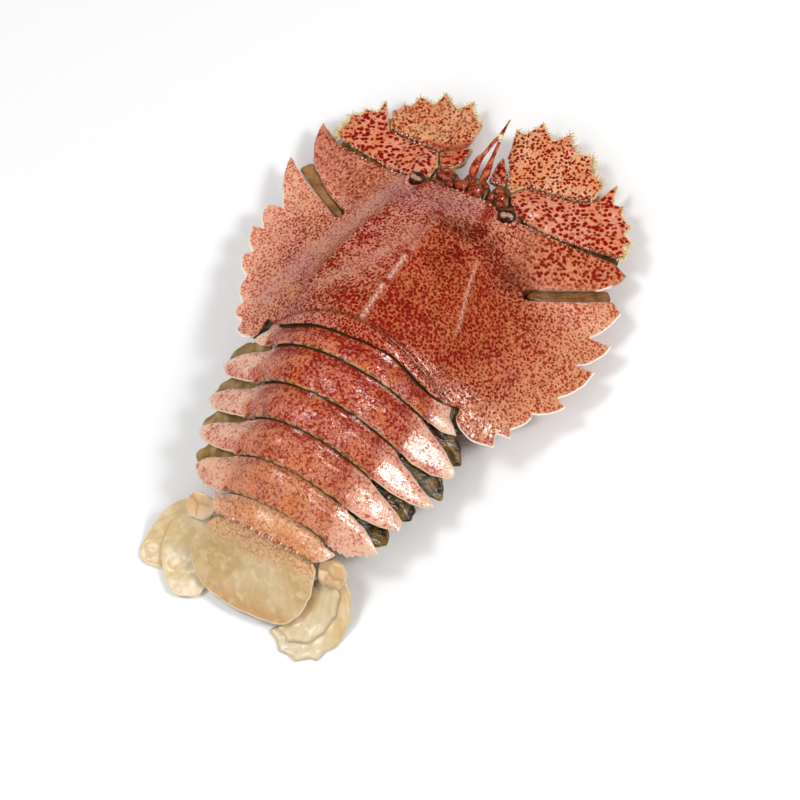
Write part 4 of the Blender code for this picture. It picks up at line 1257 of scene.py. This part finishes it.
# Folds between the middle and the left blades of three back plates
FOLDS = {
    2: ((-19.0, -14.1), (-18.4, -13.3), (-15.6, -12.1), (-12.6, -10.7), (-10.2, -8.8), (-6.6, -7.6)),
    3: ((-17.5, -22.9), (-16.1, -21.7), (-12.0, -20.4), (-8.6, -18.4), (-6.0, -17.0)),
    4: ((-14.3, -32.4), (-14.0, -30.5), (-9.8, -29.0), (-5.4, -27.2)),
}

# One plate's blades end in saw teeth: its number, and how far apart and how deep they are
SAWN_PLATE = 5
SAW_SPACING = 1.5
SAW_DEPTH = 0.55

# A distance in millimetres that is off any mark
FAR = 9.0


def sawn(points):
    """The outline with saw teeth along the rear edges of its blades."""
    away = outwards(points)
    x = np.abs(points[:, 0])
    rear = (away[:, 1] < -0.3) & (x > 15.5) & (x < 26.5)
    tooth = (x / SAW_SPACING) % 1.0
    return points + away * (np.where(rear, SAW_DEPTH * tooth, 0.0))[:, None]


def build_back_plate(number, name, shape, before):
    """A plate of the back, which comes out from under the rear edge of the one before it."""
    hinge = shape["hinge"]
    tip = max(x for x, y in shape["left"])

    def lag(x, y):
        return rear_edge(before, x) - y

    def layer(x, y):
        behind = lag(x, y) - STEP_START
        quick = (1 - STEP_REST) * ramp(behind, 0.0, STEP_LENGTH)
        return -STEP_DOWN * (1 - quick - STEP_REST * ramp(behind, 0.0, STEP_FADE))

    def blade(x):
        return ramp(np.abs(x) - hinge, -1.0, 3.5)

    def folded(x, y, shift, width):
        """1 on the plate's fold, or on a line that lies beside it by the shift."""
        return stripe(x + shift, y, FOLDS[number], width) if number in FOLDS else np.zeros_like(x)

    def relief(x, y, inside):
        calm = 1 - 0.75 * ramp(x, hinge - 2.0, hinge + 2.0)
        waves = 0.14 * ripple(x, y, 5.0, 10 + number) + 0.05 * ripple(x, y, 1.8, 20 + number)
        height = 0.25 * blade(x) * ramp(inside, 0.0, 2.0) + calm * waves
        height = height + 0.35 * folded(x, y, 0.0, 0.6) - 0.3 * folded(x, y, 1.1, 0.8)
        return ramp(lag(x, y), 1.0, 4.0) * height

    def marks(x, y, inside):
        out = np.abs(x)
        behind = through(SHELL_REAR, x) - y if before is CARAPACE_REAR else lag(x, y)
        return {
            "behind": np.where(out < before["hinge"] + 2.0, behind, FAR),
            "rim": ramp(rear_edge(shape, x) + 0.6 - y, 0.0, 0.2) * (1 - ramp(out, hinge - 1, hinge + 1)),
            "blade": blade(x),
            "tip": ramp(out, tip - 5.5, tip - 1.0),
            "fold": folded(x, y, 0.0, 0.45),
            "stain": folded(x, y, 2.0, 2.0),
        }

    outline = evened(tergite_outline(shape), 0.3, 0.28, 0.06, 30 + number)
    if number == SAWN_PLATE:
        outline = sawn(outline)
    piece = plate(
        f"back_plate_{number}", outline, standing(back_surface, layer), TERGITE, PLATE_GRID, relief, marks)
    dress(piece, back_finish(number, *BACK_LOOKS[number - 1]), "back", name)


def build_back():
    before = CARAPACE_REAR
    for number, (name, shape) in enumerate(TERGITES.items(), 1):
        build_back_plate(number, name, shape, before)
        before = shape


def build_spines():
    """Small red spines at the hinges of the back plates, and a row across the last plate."""
    spines = Heap()
    for shape in list(TERGITES.values())[:-1]:
        for side in (-1, 1):
            x = side * (shape["hinge"] + 0.4)
            root = over(back_surface, np.array([x]), np.array([shape["rear"] + 0.5]), 0.2)[0]
            tip = root + (side * 0.6, -1.1, -0.2)
            spines.limb([root + (0, 0.8, 0), root, tip], (0.3, 0.5, 0.08), 10, (0.4, 0.1, 0.6))
    last = TERGITES["tergite_6"]
    draw = np.random.default_rng(77)
    for x in np.arange(-11.0, 10.5, 0.85):
        size = draw.uniform(0.22, 0.42)
        y = float(rear_edge(last, x)) + 0.5 + draw.normal(0, 0.12)
        root = over(back_surface, np.array([x]), np.array([y]), 0.05)[0]
        path = [root + (0, size, 0.0), root + (0, 0, 0.2), root - (0, 2.2 * size, 0.0)]
        spines.limb(path, (0.7 * size, size, 0.4 * size), 8, draw.uniform(0.1, 1.0, 3))
    dress(spines.piece("back_spines"), grain_finish("back_spines", (236, 204, 166), (170, 74, 40)), "back")


def flesh_place(x, y, rise):
    """Stand points off the top of the meat, which follows the back from below."""
    points = over(back_surface, x, y, -FLESH_DROP)
    points[:, 1] = y
    points[:, 2] += rise
    return points


def flesh_strands(x, y, inside):
    return 0.12 * ripple(x * 0.4, y, 2.2, 6)


def build_meat():
    def depth(x, y):
        return flesh_place(x, y, 0.0)[:, 2] - through(FLESH_UNDER, y) - FLESH_ROUND * x * x

    right = [(float(through(BACK_WIDTH, y)) - FLESH_MARGIN, y) for y in reversed(FLESH_STATIONS)]
    left = [(-x, y) for x, y in reversed(right)]
    piece = plate("meat", evened(right + left, 0.6, 0.6), flesh_place, depth, 0.9, flesh_strands)
    dress(piece, soft_finish("meat", (206, 170, 112), (150, 112, 60)), "flesh", "abdomen_flesh")


# Skin under the gap between the shell's rear right corner and the first back plate, dark to paint the shade
# in that gap, and how far it lies under both; the left one is its mirror image
HINGE_SHADE_SKIN = ((24.6, 3.2), (25.2, -2.2), (27.6, -4.2), (30.6, -4.6), (31.8, -2.4), (30.2, 3.0))
HINGE_DEPTH = 2.4


def build_hinge_shade_skins():
    def sunk(x, y):
        return np.minimum(back_surface(x, y), carapace_top(x, y)) - HINGE_DEPTH

    # Dark olive: painted shade in the gap, on the joint's skin.
    finish = soft_finish("hinge_shade_skin", (112, 88, 52), (58, 44, 24), 0.0, 0.5)
    for word, corners in (("right", HINGE_SHADE_SKIN), ("left", mirrored(HINGE_SHADE_SKIN))):
        piece = plate(f"hinge_shade_skin_{word}", evened(corners, 0.5, 0.4), lifted(sunk), 0.5, 0.6, flesh_strands)
        dress(piece, finish, "flesh")


def build_leaves():
    def veins(x, y, inside):
        return 0.14 * ripple(x * 0.5, y * 1.2, 1.8, 7)

    finishes = {
        # The right leaves' near-black dark colour is painted shade of the deep gaps between the blades; their
        # lighter colour is olive skin.
        "right": soft_finish("right_leaf", (130, 98, 48), (34, 20, 8), 0.1, 0.7),
        "left": soft_finish("left_leaf", (184, 152, 98), (144, 114, 66), 0.3, 0.3),
    }
    for word, places in LEAVES.items():
        for number, place in enumerate(places, 1):
            outline = evened(leaf_outline(place), 0.4, 0.4, 0.25, number)
            piece = plate(f"leaf_{word}_{number}", outline, lifted(leaf_top), LEAF_THICKNESS, 0.6, veins)
            dress(piece, finishes[word], "flesh", f"swimmeret_{word}_{number}")


# Creases in the joints of the tail fan
CREASES = {
    "left": (((-24.6, -47.6), (-21.8, -48.6), (-18.6, -48.0)), ((-21.8, -48.6), (-20.8, -51.4))),
    "right": (((14.6, -49.6), (17.2, -49.2), (19.6, -50.4), (22.0, -49.6)), ((18.0, -49.8), (17.4, -52.0))),
}

# Where the tail plates spread from: the place and how far they reach, for the end plate and the fan
END_ROOT = ((0.0, -44.0), 23.0)
FAN_ROOT = ((17.0, -44.0), 26.0)


def tail_marks(x, y, root, length):
    """How far each point is along a tail plate, and its fine lines that fan out from the root."""
    back = root[1] - y
    angle = np.arctan2(x - root[0], back)
    lines = ramp(np.sin(angle * 46 + 2 * np.sin(angle * 9)), 0.2, 1.0) * ramp(back, 3.0, 8.0)
    return {"along": np.clip(back / length, 0, 1), "lines": lines}


def build_end_plate():
    def swell(x, y, inside):
        hard = 1 - ramp(-y, 54.0, 58.0)
        return 0.2 * ripple(x, y, 5.0, 40) + 0.08 * ripple(x, y, 2.0, 41) + 0.12 * hard

    piece = plate(
        "end_plate", evened(TELSON_OUTLINE, 0.35, 0.4, 0.12, 42), lifted(telson_top), TELSON_THICKNESS,
        PLATE_GRID, swell, lambda x, y, inside: tail_marks(x, y, *END_ROOT))
    dress(piece, tail_finish("telson"), "tail", "telson")


def build_fan_limb(word, side, limb, corners, finish):
    """One limb of the tail fan; the joint at its root is creased."""
    lift, thickness = FAN_LIMBS[limb]
    (root_x, root_y), length = FAN_ROOT

    def marks(x, y, inside):
        found = tail_marks(x, y, (side * root_x, root_y), length)
        if limb == "protopod":
            found["crease"] = np.maximum.reduce([stripe(x, y, line, 0.3) for line in CREASES[word]])
        return found

    def ribs(x, y, inside):
        found = marks(x, y, inside)
        return 0.05 * found["lines"] + 0.14 * ripple(x, y, 5.0, 43) - 0.35 * found.get("crease", 0.0)

    piece = plate(
        f"fan_{limb}_{word}", evened(corners, 0.35, 0.35, 0.1, 44),
        lifted(lambda x, y: through(FAN_TOP, y) + lift), thickness, PLATE_GRID, ribs, marks)
    dress(piece, finish, "tail", f"{limb}_{word}")


def build_fan():
    blade = tail_finish("fan")
    finishes = {"exopod": blade, "protopod": tail_finish("joint"), "endopod": blade}
    for side, word, limbs in ((-1, "left", FAN_LEFT), (1, "right", FAN_RIGHT)):
        for limb, corners in limbs.items():
            build_fan_limb(word, side, limb, corners, finishes[limb])


# Dark skin under the seams of the head, and how far it lies under the plates
SEAM_SKIN = {
    "right": (
        (4.0, 53.0), (16.0, 52.6), (34.0, 53.8), (42.5, 55.6), (42.0, 58.0), (39.5, 61.5), (34.5, 65.5),
        (30.5, 70.0), (27.8, 72.4), (22.0, 69.6), (12.0, 68.4), (6.5, 67.6), (4.4, 64.0),
    ),
    "left": (
        (-5.0, 53.0), (-4.2, 58.5), (-8.0, 61.0), (-8.6, 66.0), (-11.5, 69.0), (-20.0, 68.6),
        (-29.8, 68.8), (-32.5, 68.4), (-35.0, 65.0), (-39.0, 61.5), (-41.0, 58.0), (-40.5, 55.0),
        (-30.0, 53.2), (-18.0, 52.0),
    ),
}
SEAM_DEPTH = 0.75

# Rows of beads along edges of the antennae and along the shell's front edge
ANTENNA_BEADS = (
    ((10.8, 65.3), (13.2, 66.2), (18.2, 66.8), (24.4, 67.5), (28.2, 70.0)),
    ((29.0, 69.3), (24.7, 66.4), (18.2, 65.7), (13.2, 65.1), (10.9, 64.2)),
    ((13.2, 56.2), (17.0, 54.6), (26.0, 54.95), (33.9, 55.65), (42.0, 57.0)),
    ((-30.2, 65.7), (-26.4, 65.1), (-21.8, 65.0), (-15.6, 65.0), (-12.8, 66.9)),
    ((-15.3, 64.0), (-21.8, 64.0), (-26.5, 64.1), (-30.4, 64.7)),
    ((-40.0, 56.5), (-29.7, 54.9), (-22.6, 54.1), (-18.2, 53.9), (-15.8, 54.5)),
    ((-8.0, 69.0), (-7.8, 64.4), (-9.6, 60.6), (-12.0, 60.9)),
    ((0.9, 70.0), (1.9, 62.4), (5.4, 62.3), (6.0, 63.0), (4.0, 67.0)),
    ((2.2, 72.0), (4.9, 67.8), (7.2, 62.8), (8.9, 61.8)),
    ((9.7, 60.8), (11.2, 58.0), (13.2, 56.2)),
)
SHELL_BEADS = (
    ((41.4, 55.6), (34.7, 54.6), (27.0, 53.9), (17.7, 53.2)),
    ((-40.4, 55.1), (-29.7, 53.6), (-17.8, 52.5)),
    ((10.2, 52.9), (5.4, 53.7), (0.0, 52.9), (-5.6, 52.5), (-10.2, 52.5)),
)
BEAD_SPACING = 1.5
BEAD_RADIUS = 0.42


def build_seam_skins():
    def sunk(x, y):
        return np.minimum(antenna_top(x, y), carapace_top(x, y)) - SEAM_DEPTH

    def folds(x, y, inside):
        return 0.1 * ripple(x, y, 1.6, 70)

    finish = soft_finish("seam_skin", (150, 122, 72), (80, 58, 26), 0.0, 0.4)
    for word, corners in SEAM_SKIN.items():
        piece = plate(f"seam_skin_{word}", evened(corners, 0.6, 0.4), lifted(sunk), 0.5, 0.8, folds)
        dress(piece, finish, "antenna")


def paced(path, spacing):
    """Points along a path, evenly spaced."""
    points = np.array(path, float)
    along = np.concatenate([[0], np.cumsum(np.hypot(*np.diff(points, axis=0).T))])
    at = np.arange(spacing / 2, along[-1], spacing)
    return np.stack([np.interp(at, along, points[:, axis]) for axis in (0, 1)], -1)


def build_beads():
    beads = Heap()
    draw = np.random.default_rng(71)
    for rows, height in ((ANTENNA_BEADS, antenna_top), (SHELL_BEADS, carapace_top)):
        for row in rows:
            places = paced(row, BEAD_SPACING)
            places = places + draw.normal(0, 0.12, places.shape)
            for (x, y), z in zip(places, height(*places.T)):
                size = BEAD_RADIUS * draw.uniform(0.7, 1.35)
                shade = draw.uniform(-0.2, 0.3)
                # The last value lightens each bead's top: a painted highlight.
                beads.bead((x, y, z), (size, size, size * 0.9), shade, 8, 12, draw.uniform(0.2, 0.9))
    dress(beads.piece("seam_beads"), grain_finish("seam_beads", (236, 190, 168), (132, 34, 16)), "antenna")


# Fringes of hair along outer edges of the antennae: a path, how long its hairs are and their spacing
FRINGES = (
    (((28.7, 74.3), (24.0, 76.8), (22.4, 81.0)), 2.1, 0.6),
    (((22.4, 81.0), (18.2, 79.8), (13.6, 84.5)), 1.7, 0.7),
    (((13.6, 84.5), (10.6, 80.4), (5.6, 84.4), (3.0, 79.4), (0.0, 79.6)), 1.2, 0.7),
    (((-8.9, 77.2), (-10.9, 77.7), (-14.4, 82.3), (-17.4, 78.4), (-22.4, 81.5)), 1.1, 0.7),
    (((-22.4, 81.5), (-23.6, 76.9), (-28.2, 77.6), (-28.9, 74.0), (-31.2, 73.4)), 1.1, 0.7),
    (((42.2, 56.7), (43.8, 58.2), (41.9, 60.3), (43.2, 62.4)), 1.9, 0.3),
    (((43.2, 62.4), (40.2, 64.2), (40.8, 66.6), (37.0, 68.6), (36.3, 71.2)), 1.0, 0.6),
    (((-35.9, 72.5), (-36.2, 68.4), (-39.6, 67.6), (-39.4, 65.6)), 1.0, 0.6),
    (((-39.4, 65.6), (-41.9, 64.5), (-41.2, 62.0), (-42.6, 58.4), (-40.4, 56.2)), 1.7, 0.32),
)
HAIR_RADII = (0.24, 0.17, 0.05)

# The pale joint of the antennules: its place and three half sizes
WHIP_JOINT = ((-0.4, 73.1, 13.0), (0.75, 0.95, 0.6))


def build_fringes():
    """Pale curved hairs between the teeth of the antennae, and the pale joint of the antennules."""
    hairs = Heap()
    draw = np.random.default_rng(75)
    for path, length, spacing in FRINGES:
        places = paced(path, spacing)
        run = np.gradient(places, axis=0)
        run /= np.hypot(*run.T)[:, None]
        for (x, y), (along, up) in zip(places, run):
            out = np.array((up, -along, 0.0))
            side = np.array((along, up, 0.0)) * draw.normal(0.1, 0.45)
            z = float(antenna_top(np.array([x]), np.array([y]))[0]) - 0.45
            root = np.array((x, y, z)) - 0.35 * out
            far = length * draw.uniform(0.6, 1.25)
            bend = (0, 0, 0.25 * far)
            hair = [root, root + far * 0.5 * (out + 0.3 * side) + bend, root + far * (out + side) + bend]
            hairs.limb(hair, HAIR_RADII, 5, (0.3, 0.7, 1.0))
    hairs.bead(*WHIP_JOINT, 0.9, 12, 16)
    finish = grain_finish("hair_fringes", (238, 218, 160), (176, 140, 78))
    dress(hairs.piece("hair_fringes"), finish, "antenna")


# On the left fan plate: a red band along its root, and one dark spot
RED_BAND = ((-17.5, 65.8), (-13.2, 66.6), (-10.6, 68.2), (-8.9, 70.4))
DARK_SPOT = (-13.9, 69.9)

# How far the broad plates stand off the shell behind them
SEAM_GAP = 0.4


def antenna_lumps(x, y, inside):
    puff = 0.3 * ramp(inside, 0.0, 2.5)
    return puff + 0.18 * ripple(x, y, 4.5, 50) + 0.06 * ripple(x, y, 1.6, 51)


def left_fan_marks(x, y, inside):
    return {
        "red": stripe(x, y, RED_BAND, 1.1),
        # tan: the left fan made duller and browner, a painted shade where it lies in shadow
        "tan": 0.4 + 0.2 * ripple(x, y, 6.0, 78),
        "spot": spot(x, y, DARK_SPOT, 0.5),
    }


def build_antennae():
    for word, plates in (("left", ANTENNA_LEFT), ("right", ANTENNA_RIGHT)):
        for kind, thickness in ANTENNA_THICKNESS.items():
            outline = evened(plates[kind], 0.3, 0.25, 0.06, 52)
            if kind == "broad":
                away = outwards(outline)
                outline = outline - away * (SEAM_GAP * ramp(-away[:, 1], 0.3, 0.8))[:, None]
            marks = left_fan_marks if (kind, word) == ("fan", "left") else None
            piece = plate(
                f"feeler_{kind}_{word}", outline, lifted(antenna_top), thickness, PLATE_GRID,
                antenna_lumps, marks)
            dress(piece, antenna_finish(kind), "antenna", f"antenna_{kind}_{word}")


def build_stalks():
    def dome(x, y, inside):
        return 0.3 * ripple(x, y, 2.5, 53) - 0.4

    def marks(x, y, inside):
        return {"shade": 0.5 + 0.5 * ripple(x, y, 2.0, 54)}

    finish = grain_finish("stalk_roots", (136, 72, 40), (84, 52, 26), 0.6)
    for name, corners in STALKS.items():
        piece = plate(
            f"{name}_root", evened(corners, 0.3, 0.35, 0.1, 55), level(STALK_TOP),
            STALK_TOP - STALK_UNDER, 0.45, dome, marks)
        dress(piece, finish, "antenna", name)


# Round knobs on the stalks between the eyes: place and three half sizes
KNOBS = (
    ((-3.1, 56.8, 12.6), (1.75, 1.6, 1.1)), ((1.0, 57.0, 12.6), (1.95, 1.8, 1.2)),
    ((-1.4, 59.2, 12.2), (0.9, 0.7, 0.7)), ((-8.6, 58.9, 12.4), (1.9, 0.9, 0.9)),
    ((-8.2, 57.0, 12.4), (2.1, 0.9, 0.9)), ((-6.1, 55.8, 12.5), (1.1, 0.7, 0.7)),
    ((6.7, 59.4, 12.3), (1.4, 1.1, 0.9)), ((8.2, 57.9, 12.4), (1.2, 1.2, 1.0)),
    ((8.7, 56.0, 12.6), (1.2, 0.9, 0.9)), ((5.6, 57.2, 12.3), (0.8, 1.2, 0.7)),
    ((2.9, 59.6, 12.1), (0.8, 0.7, 0.6)),
)


def build_knobs():
    knobs = Heap()
    for place, size in KNOBS:
        knobs.bead(place, size, 0.4, 14, 20)
        ball = knobs.verts[-1]
        x, y, z = ball.T
        swell = 1 + 0.09 * ripple(x + 3 * z, y, 0.9, 72)
        knobs.verts[-1] = place + (ball - place) * swell[:, None]
        knobs.shades[-1] = np.clip(0.4 + 0.4 * ripple(x, y, 0.8, 73), 0, 1)
    dress(knobs.piece("stalk_knobs"), grain_finish("stalk_knobs", (198, 96, 62), (120, 20, 10)), "antenna")


# The two antennules, swollen at the root and thin beyond: points and radii. Only the left one is
# whole, with a pale joint
WHIPS = {
    "antennule_left": (
        ((-2.0, 60.4, 11.6), (-2.5, 62.8, 12.0), (-2.6, 65.2, 12.2), (-2.0, 67.6, 12.4), (-1.2, 71.6, 12.8),
         (-0.5, 73.2, 12.9), (-0.7, 76.6, 12.3), (-0.9, 79.3, 11.6)),
        (1.0, 1.2, 0.95, 0.52, 0.5, 0.62, 0.34, 0.14),
    ),
    "antennule_right": (
        ((1.0, 60.4, 11.4), (0.9, 63.0, 11.8), (0.6, 65.6, 12.0), (0.4, 67.6, 12.3), (0.1, 71.8, 12.8)),
        (0.95, 1.1, 0.8, 0.55, 0.45),
    ),
}


def curved(knots, count):
    """A smooth path of so many points through the knots, and where each lies among them."""
    at = np.linspace(0, len(knots) - 1, count)
    return np.stack([through(list(enumerate(column)), at) for column in zip(*knots)], -1), at


def build_whips():
    for name, (points, widths) in WHIPS.items():
        heap = Heap()
        path, at = curved(points, 80)
        radii = through(list(enumerate(widths)), at) * (1 + 0.07 * np.sin(at * 16))
        heap.limb(path, radii, 14)
        x, y, _ = heap.verts[0].T
        pale = bell(y - WHIP_JOINT[0][1] + 0.1, 0.7) if name == "antennule_left" else 0.0
        heap.shades[0] = np.maximum(0.4 + 0.55 * ripple(2.2 * x, 0.6 * y, 2.0, 76), pale)
        finish = grain_finish(name, (206, 104, 56), (140, 22, 8), 0.6)
        dress(heap.piece(f"{name}_rings"), finish, "antenna", name)


# The eyes: pale lobes on a dark ball, and the granules around it, by angle in degrees
EYE_LOBES = {
    "right": (((-0.7, -0.3, 0.9), (1.15, 0.9, 0.65)), ((0.5, 0.1, 0.9), (1.25, 0.75, 0.62))),
    "left": (((-0.8, -0.1, 0.9), (1.05, 0.8, 0.62)), ((0.2, -0.2, 0.9), (1.2, 0.75, 0.62))),
}
EYE_SHAPE = np.array((1.0, 0.95, 0.62))
LID_ARC = {"right": (-110, 45), "left": (150, 290)}
LID_BEADS = 8


def build_eyes():
    finish = grain_finish("eye", (178, 136, 110), (58, 26, 12), 0.7)
    lids = Heap()
    draw = np.random.default_rng(74)
    for word, side, back in (("right", 1, 0.0), ("left", -1, EYE_LEFT_BACK)):
        x, y, z = EYE_PLACE
        centre = np.array((side * x, y - back, z))
        heap = Heap()
        heap.bead(centre, EYE_RADIUS * EYE_SHAPE, 0.0, 16, 26)
        for offset, size in EYE_LOBES[word]:
            heap.bead(centre + offset, size, 1.0, 14, 22)
        dress(heap.piece(f"{word}_eye"), finish, "eye", f"eye_{word}")
        for turn in np.radians(np.linspace(*LID_ARC[word], LID_BEADS)):
            reach = EYE_RADIUS + draw.uniform(0.2, 0.6)
            place = centre[:2] + (reach * math.cos(turn), reach * math.sin(turn) - 0.3)
            size = draw.uniform(0.5, 0.95)
            ground = float(carapace_top(place[:1], place[1:])[0])
            # The last value lightens each lid bead's top: a painted highlight.
            lids.bead((*place, min(ground, z + 0.5)), size, draw.uniform(-0.2, 0.3), 10, 14, 0.7)
    dress(lids.piece("eye_lids"), grain_finish("eye_lids", (226, 150, 124), (136, 24, 12)), "shell")


# Where the legs narrow at their joints, by knot, and points along a leg
LEG_JOINTS = (1.0, 2.9, 4.6, 5.3)
LEG_POINTS = 49


def build_chest():
    def depth(x, y):
        joints = sum(bell(y - root - LEG_BACK + 7.5, 0.7) for root in LEG_ROOTS)
        return STERNUM_TOP - 0.5 * joints - 0.6 * bell(x, 1.2)

    def waves(x, y, inside):
        return 0.1 * ripple(x, y, 4.0, 60)

    finish = limb_finish()
    corners = STERNUM + tuple((-x, y) for x, y in reversed(STERNUM))
    chest = plate("chest", evened(corners, 0.5, 0.5), level(STERNUM_TOP), depth, 0.8, waves)
    dress(chest, finish, "leg", "sternum")
    for number, root in enumerate(LEG_ROOTS, 1):
        for word, side in (("right", 1), ("left", -1)):
            path, at = curved(leg_points(root, side), LEG_POINTS)
            joints = 1 - 0.16 * sum(bell(at - joint, 0.16) for joint in LEG_JOINTS)
            taper = np.interp(at, range(len(LEG_TAPER)), LEG_TAPER)
            heap = Heap()
            heap.limb(path, LEG_RADIUS * taper * joints, 14, 0.5)
            dress(heap.piece(f"folded_leg_{word}_{number}"), finish, "leg", f"leg_{word}_{number}")


def build_floor():
    bpy.ops.mesh.primitive_plane_add(size=FLOOR_SIZE)
    floor = bpy.context.object
    floor.name = "floor"
    paint = bpy.data.materials.new("floor")
    paint.use_nodes = True
    shader = paint.node_tree.nodes["Principled BSDF"]
    shader.inputs["Base Color"].default_value = (FLOOR_WHITE, FLOOR_WHITE, FLOOR_WHITE, 1.0)
    shader.inputs["Roughness"].default_value = 0.7
    floor.data.materials.append(paint)


def build_lights():
    for name, (direction, size, power, seen) in LIGHTS.items():
        lamp = bpy.data.lights.new(name, "AREA")
        lamp.shape = "DISK"
        lamp.size = size
        lamp.energy = power
        light = bpy.data.objects.new(name, lamp)
        light.visible_diffuse = "soft" in seen
        light.visible_glossy = "shine" in seen
        bpy.context.scene.collection.objects.link(light)
        away = Vector(direction).normalized()
        light.location = away * LIGHT_DISTANCE
        light.rotation_euler = away.to_track_quat("Z", "Y").to_euler()
    world = bpy.data.worlds.new("sky")
    world.use_nodes = True
    sky = world.node_tree.nodes["Background"]
    sky.inputs["Color"].default_value = (1.0, 1.0, 1.0, 1.0)
    sky.inputs["Strength"].default_value = SKY
    bpy.context.scene.world = world
    world.cycles_visibility.glossy = False
    bpy.context.scene.view_settings.view_transform = "Standard"


def build_camera():
    azimuth, elevation, roll = (math.radians(a) for a in (CAMERA_AZIMUTH, CAMERA_ELEVATION, CAMERA_ROLL))
    low = math.cos(elevation)
    back = Vector((math.sin(azimuth) * low, -math.cos(azimuth) * low, math.sin(elevation)))
    flat = Vector((math.cos(azimuth), math.sin(azimuth), 0.0))
    rise = back.cross(flat)
    across = flat * math.cos(roll) + rise * math.sin(roll)
    up = rise * math.cos(roll) - flat * math.sin(roll)
    view = bpy.data.cameras.new("camera")
    view.lens = CAMERA_LENS
    view.shift_x, view.shift_y = CAMERA_SHIFT
    view.clip_start = 0.01
    camera = bpy.data.objects.new("camera", view)
    place = (Vector(CAMERA_AIM) - Vector((MIDDLE_X, MIDDLE_Y, 0.0)) + back * CAMERA_DISTANCE) * MM
    camera.matrix_world = Matrix.Translation(place) @ Matrix((across, up, back)).transposed().to_4x4()
    bpy.context.scene.collection.objects.link(camera)
    bpy.context.scene.camera = camera


for build in (
    build_shell, build_cleft_skins, build_back, build_spines, build_meat, build_hinge_shade_skins, build_leaves,
    build_end_plate, build_fan, build_seam_skins, build_beads, build_fringes, build_antennae, build_stalks,
    build_knobs, build_whips, build_eyes, build_chest, build_floor, build_lights, build_camera,
):
    build()
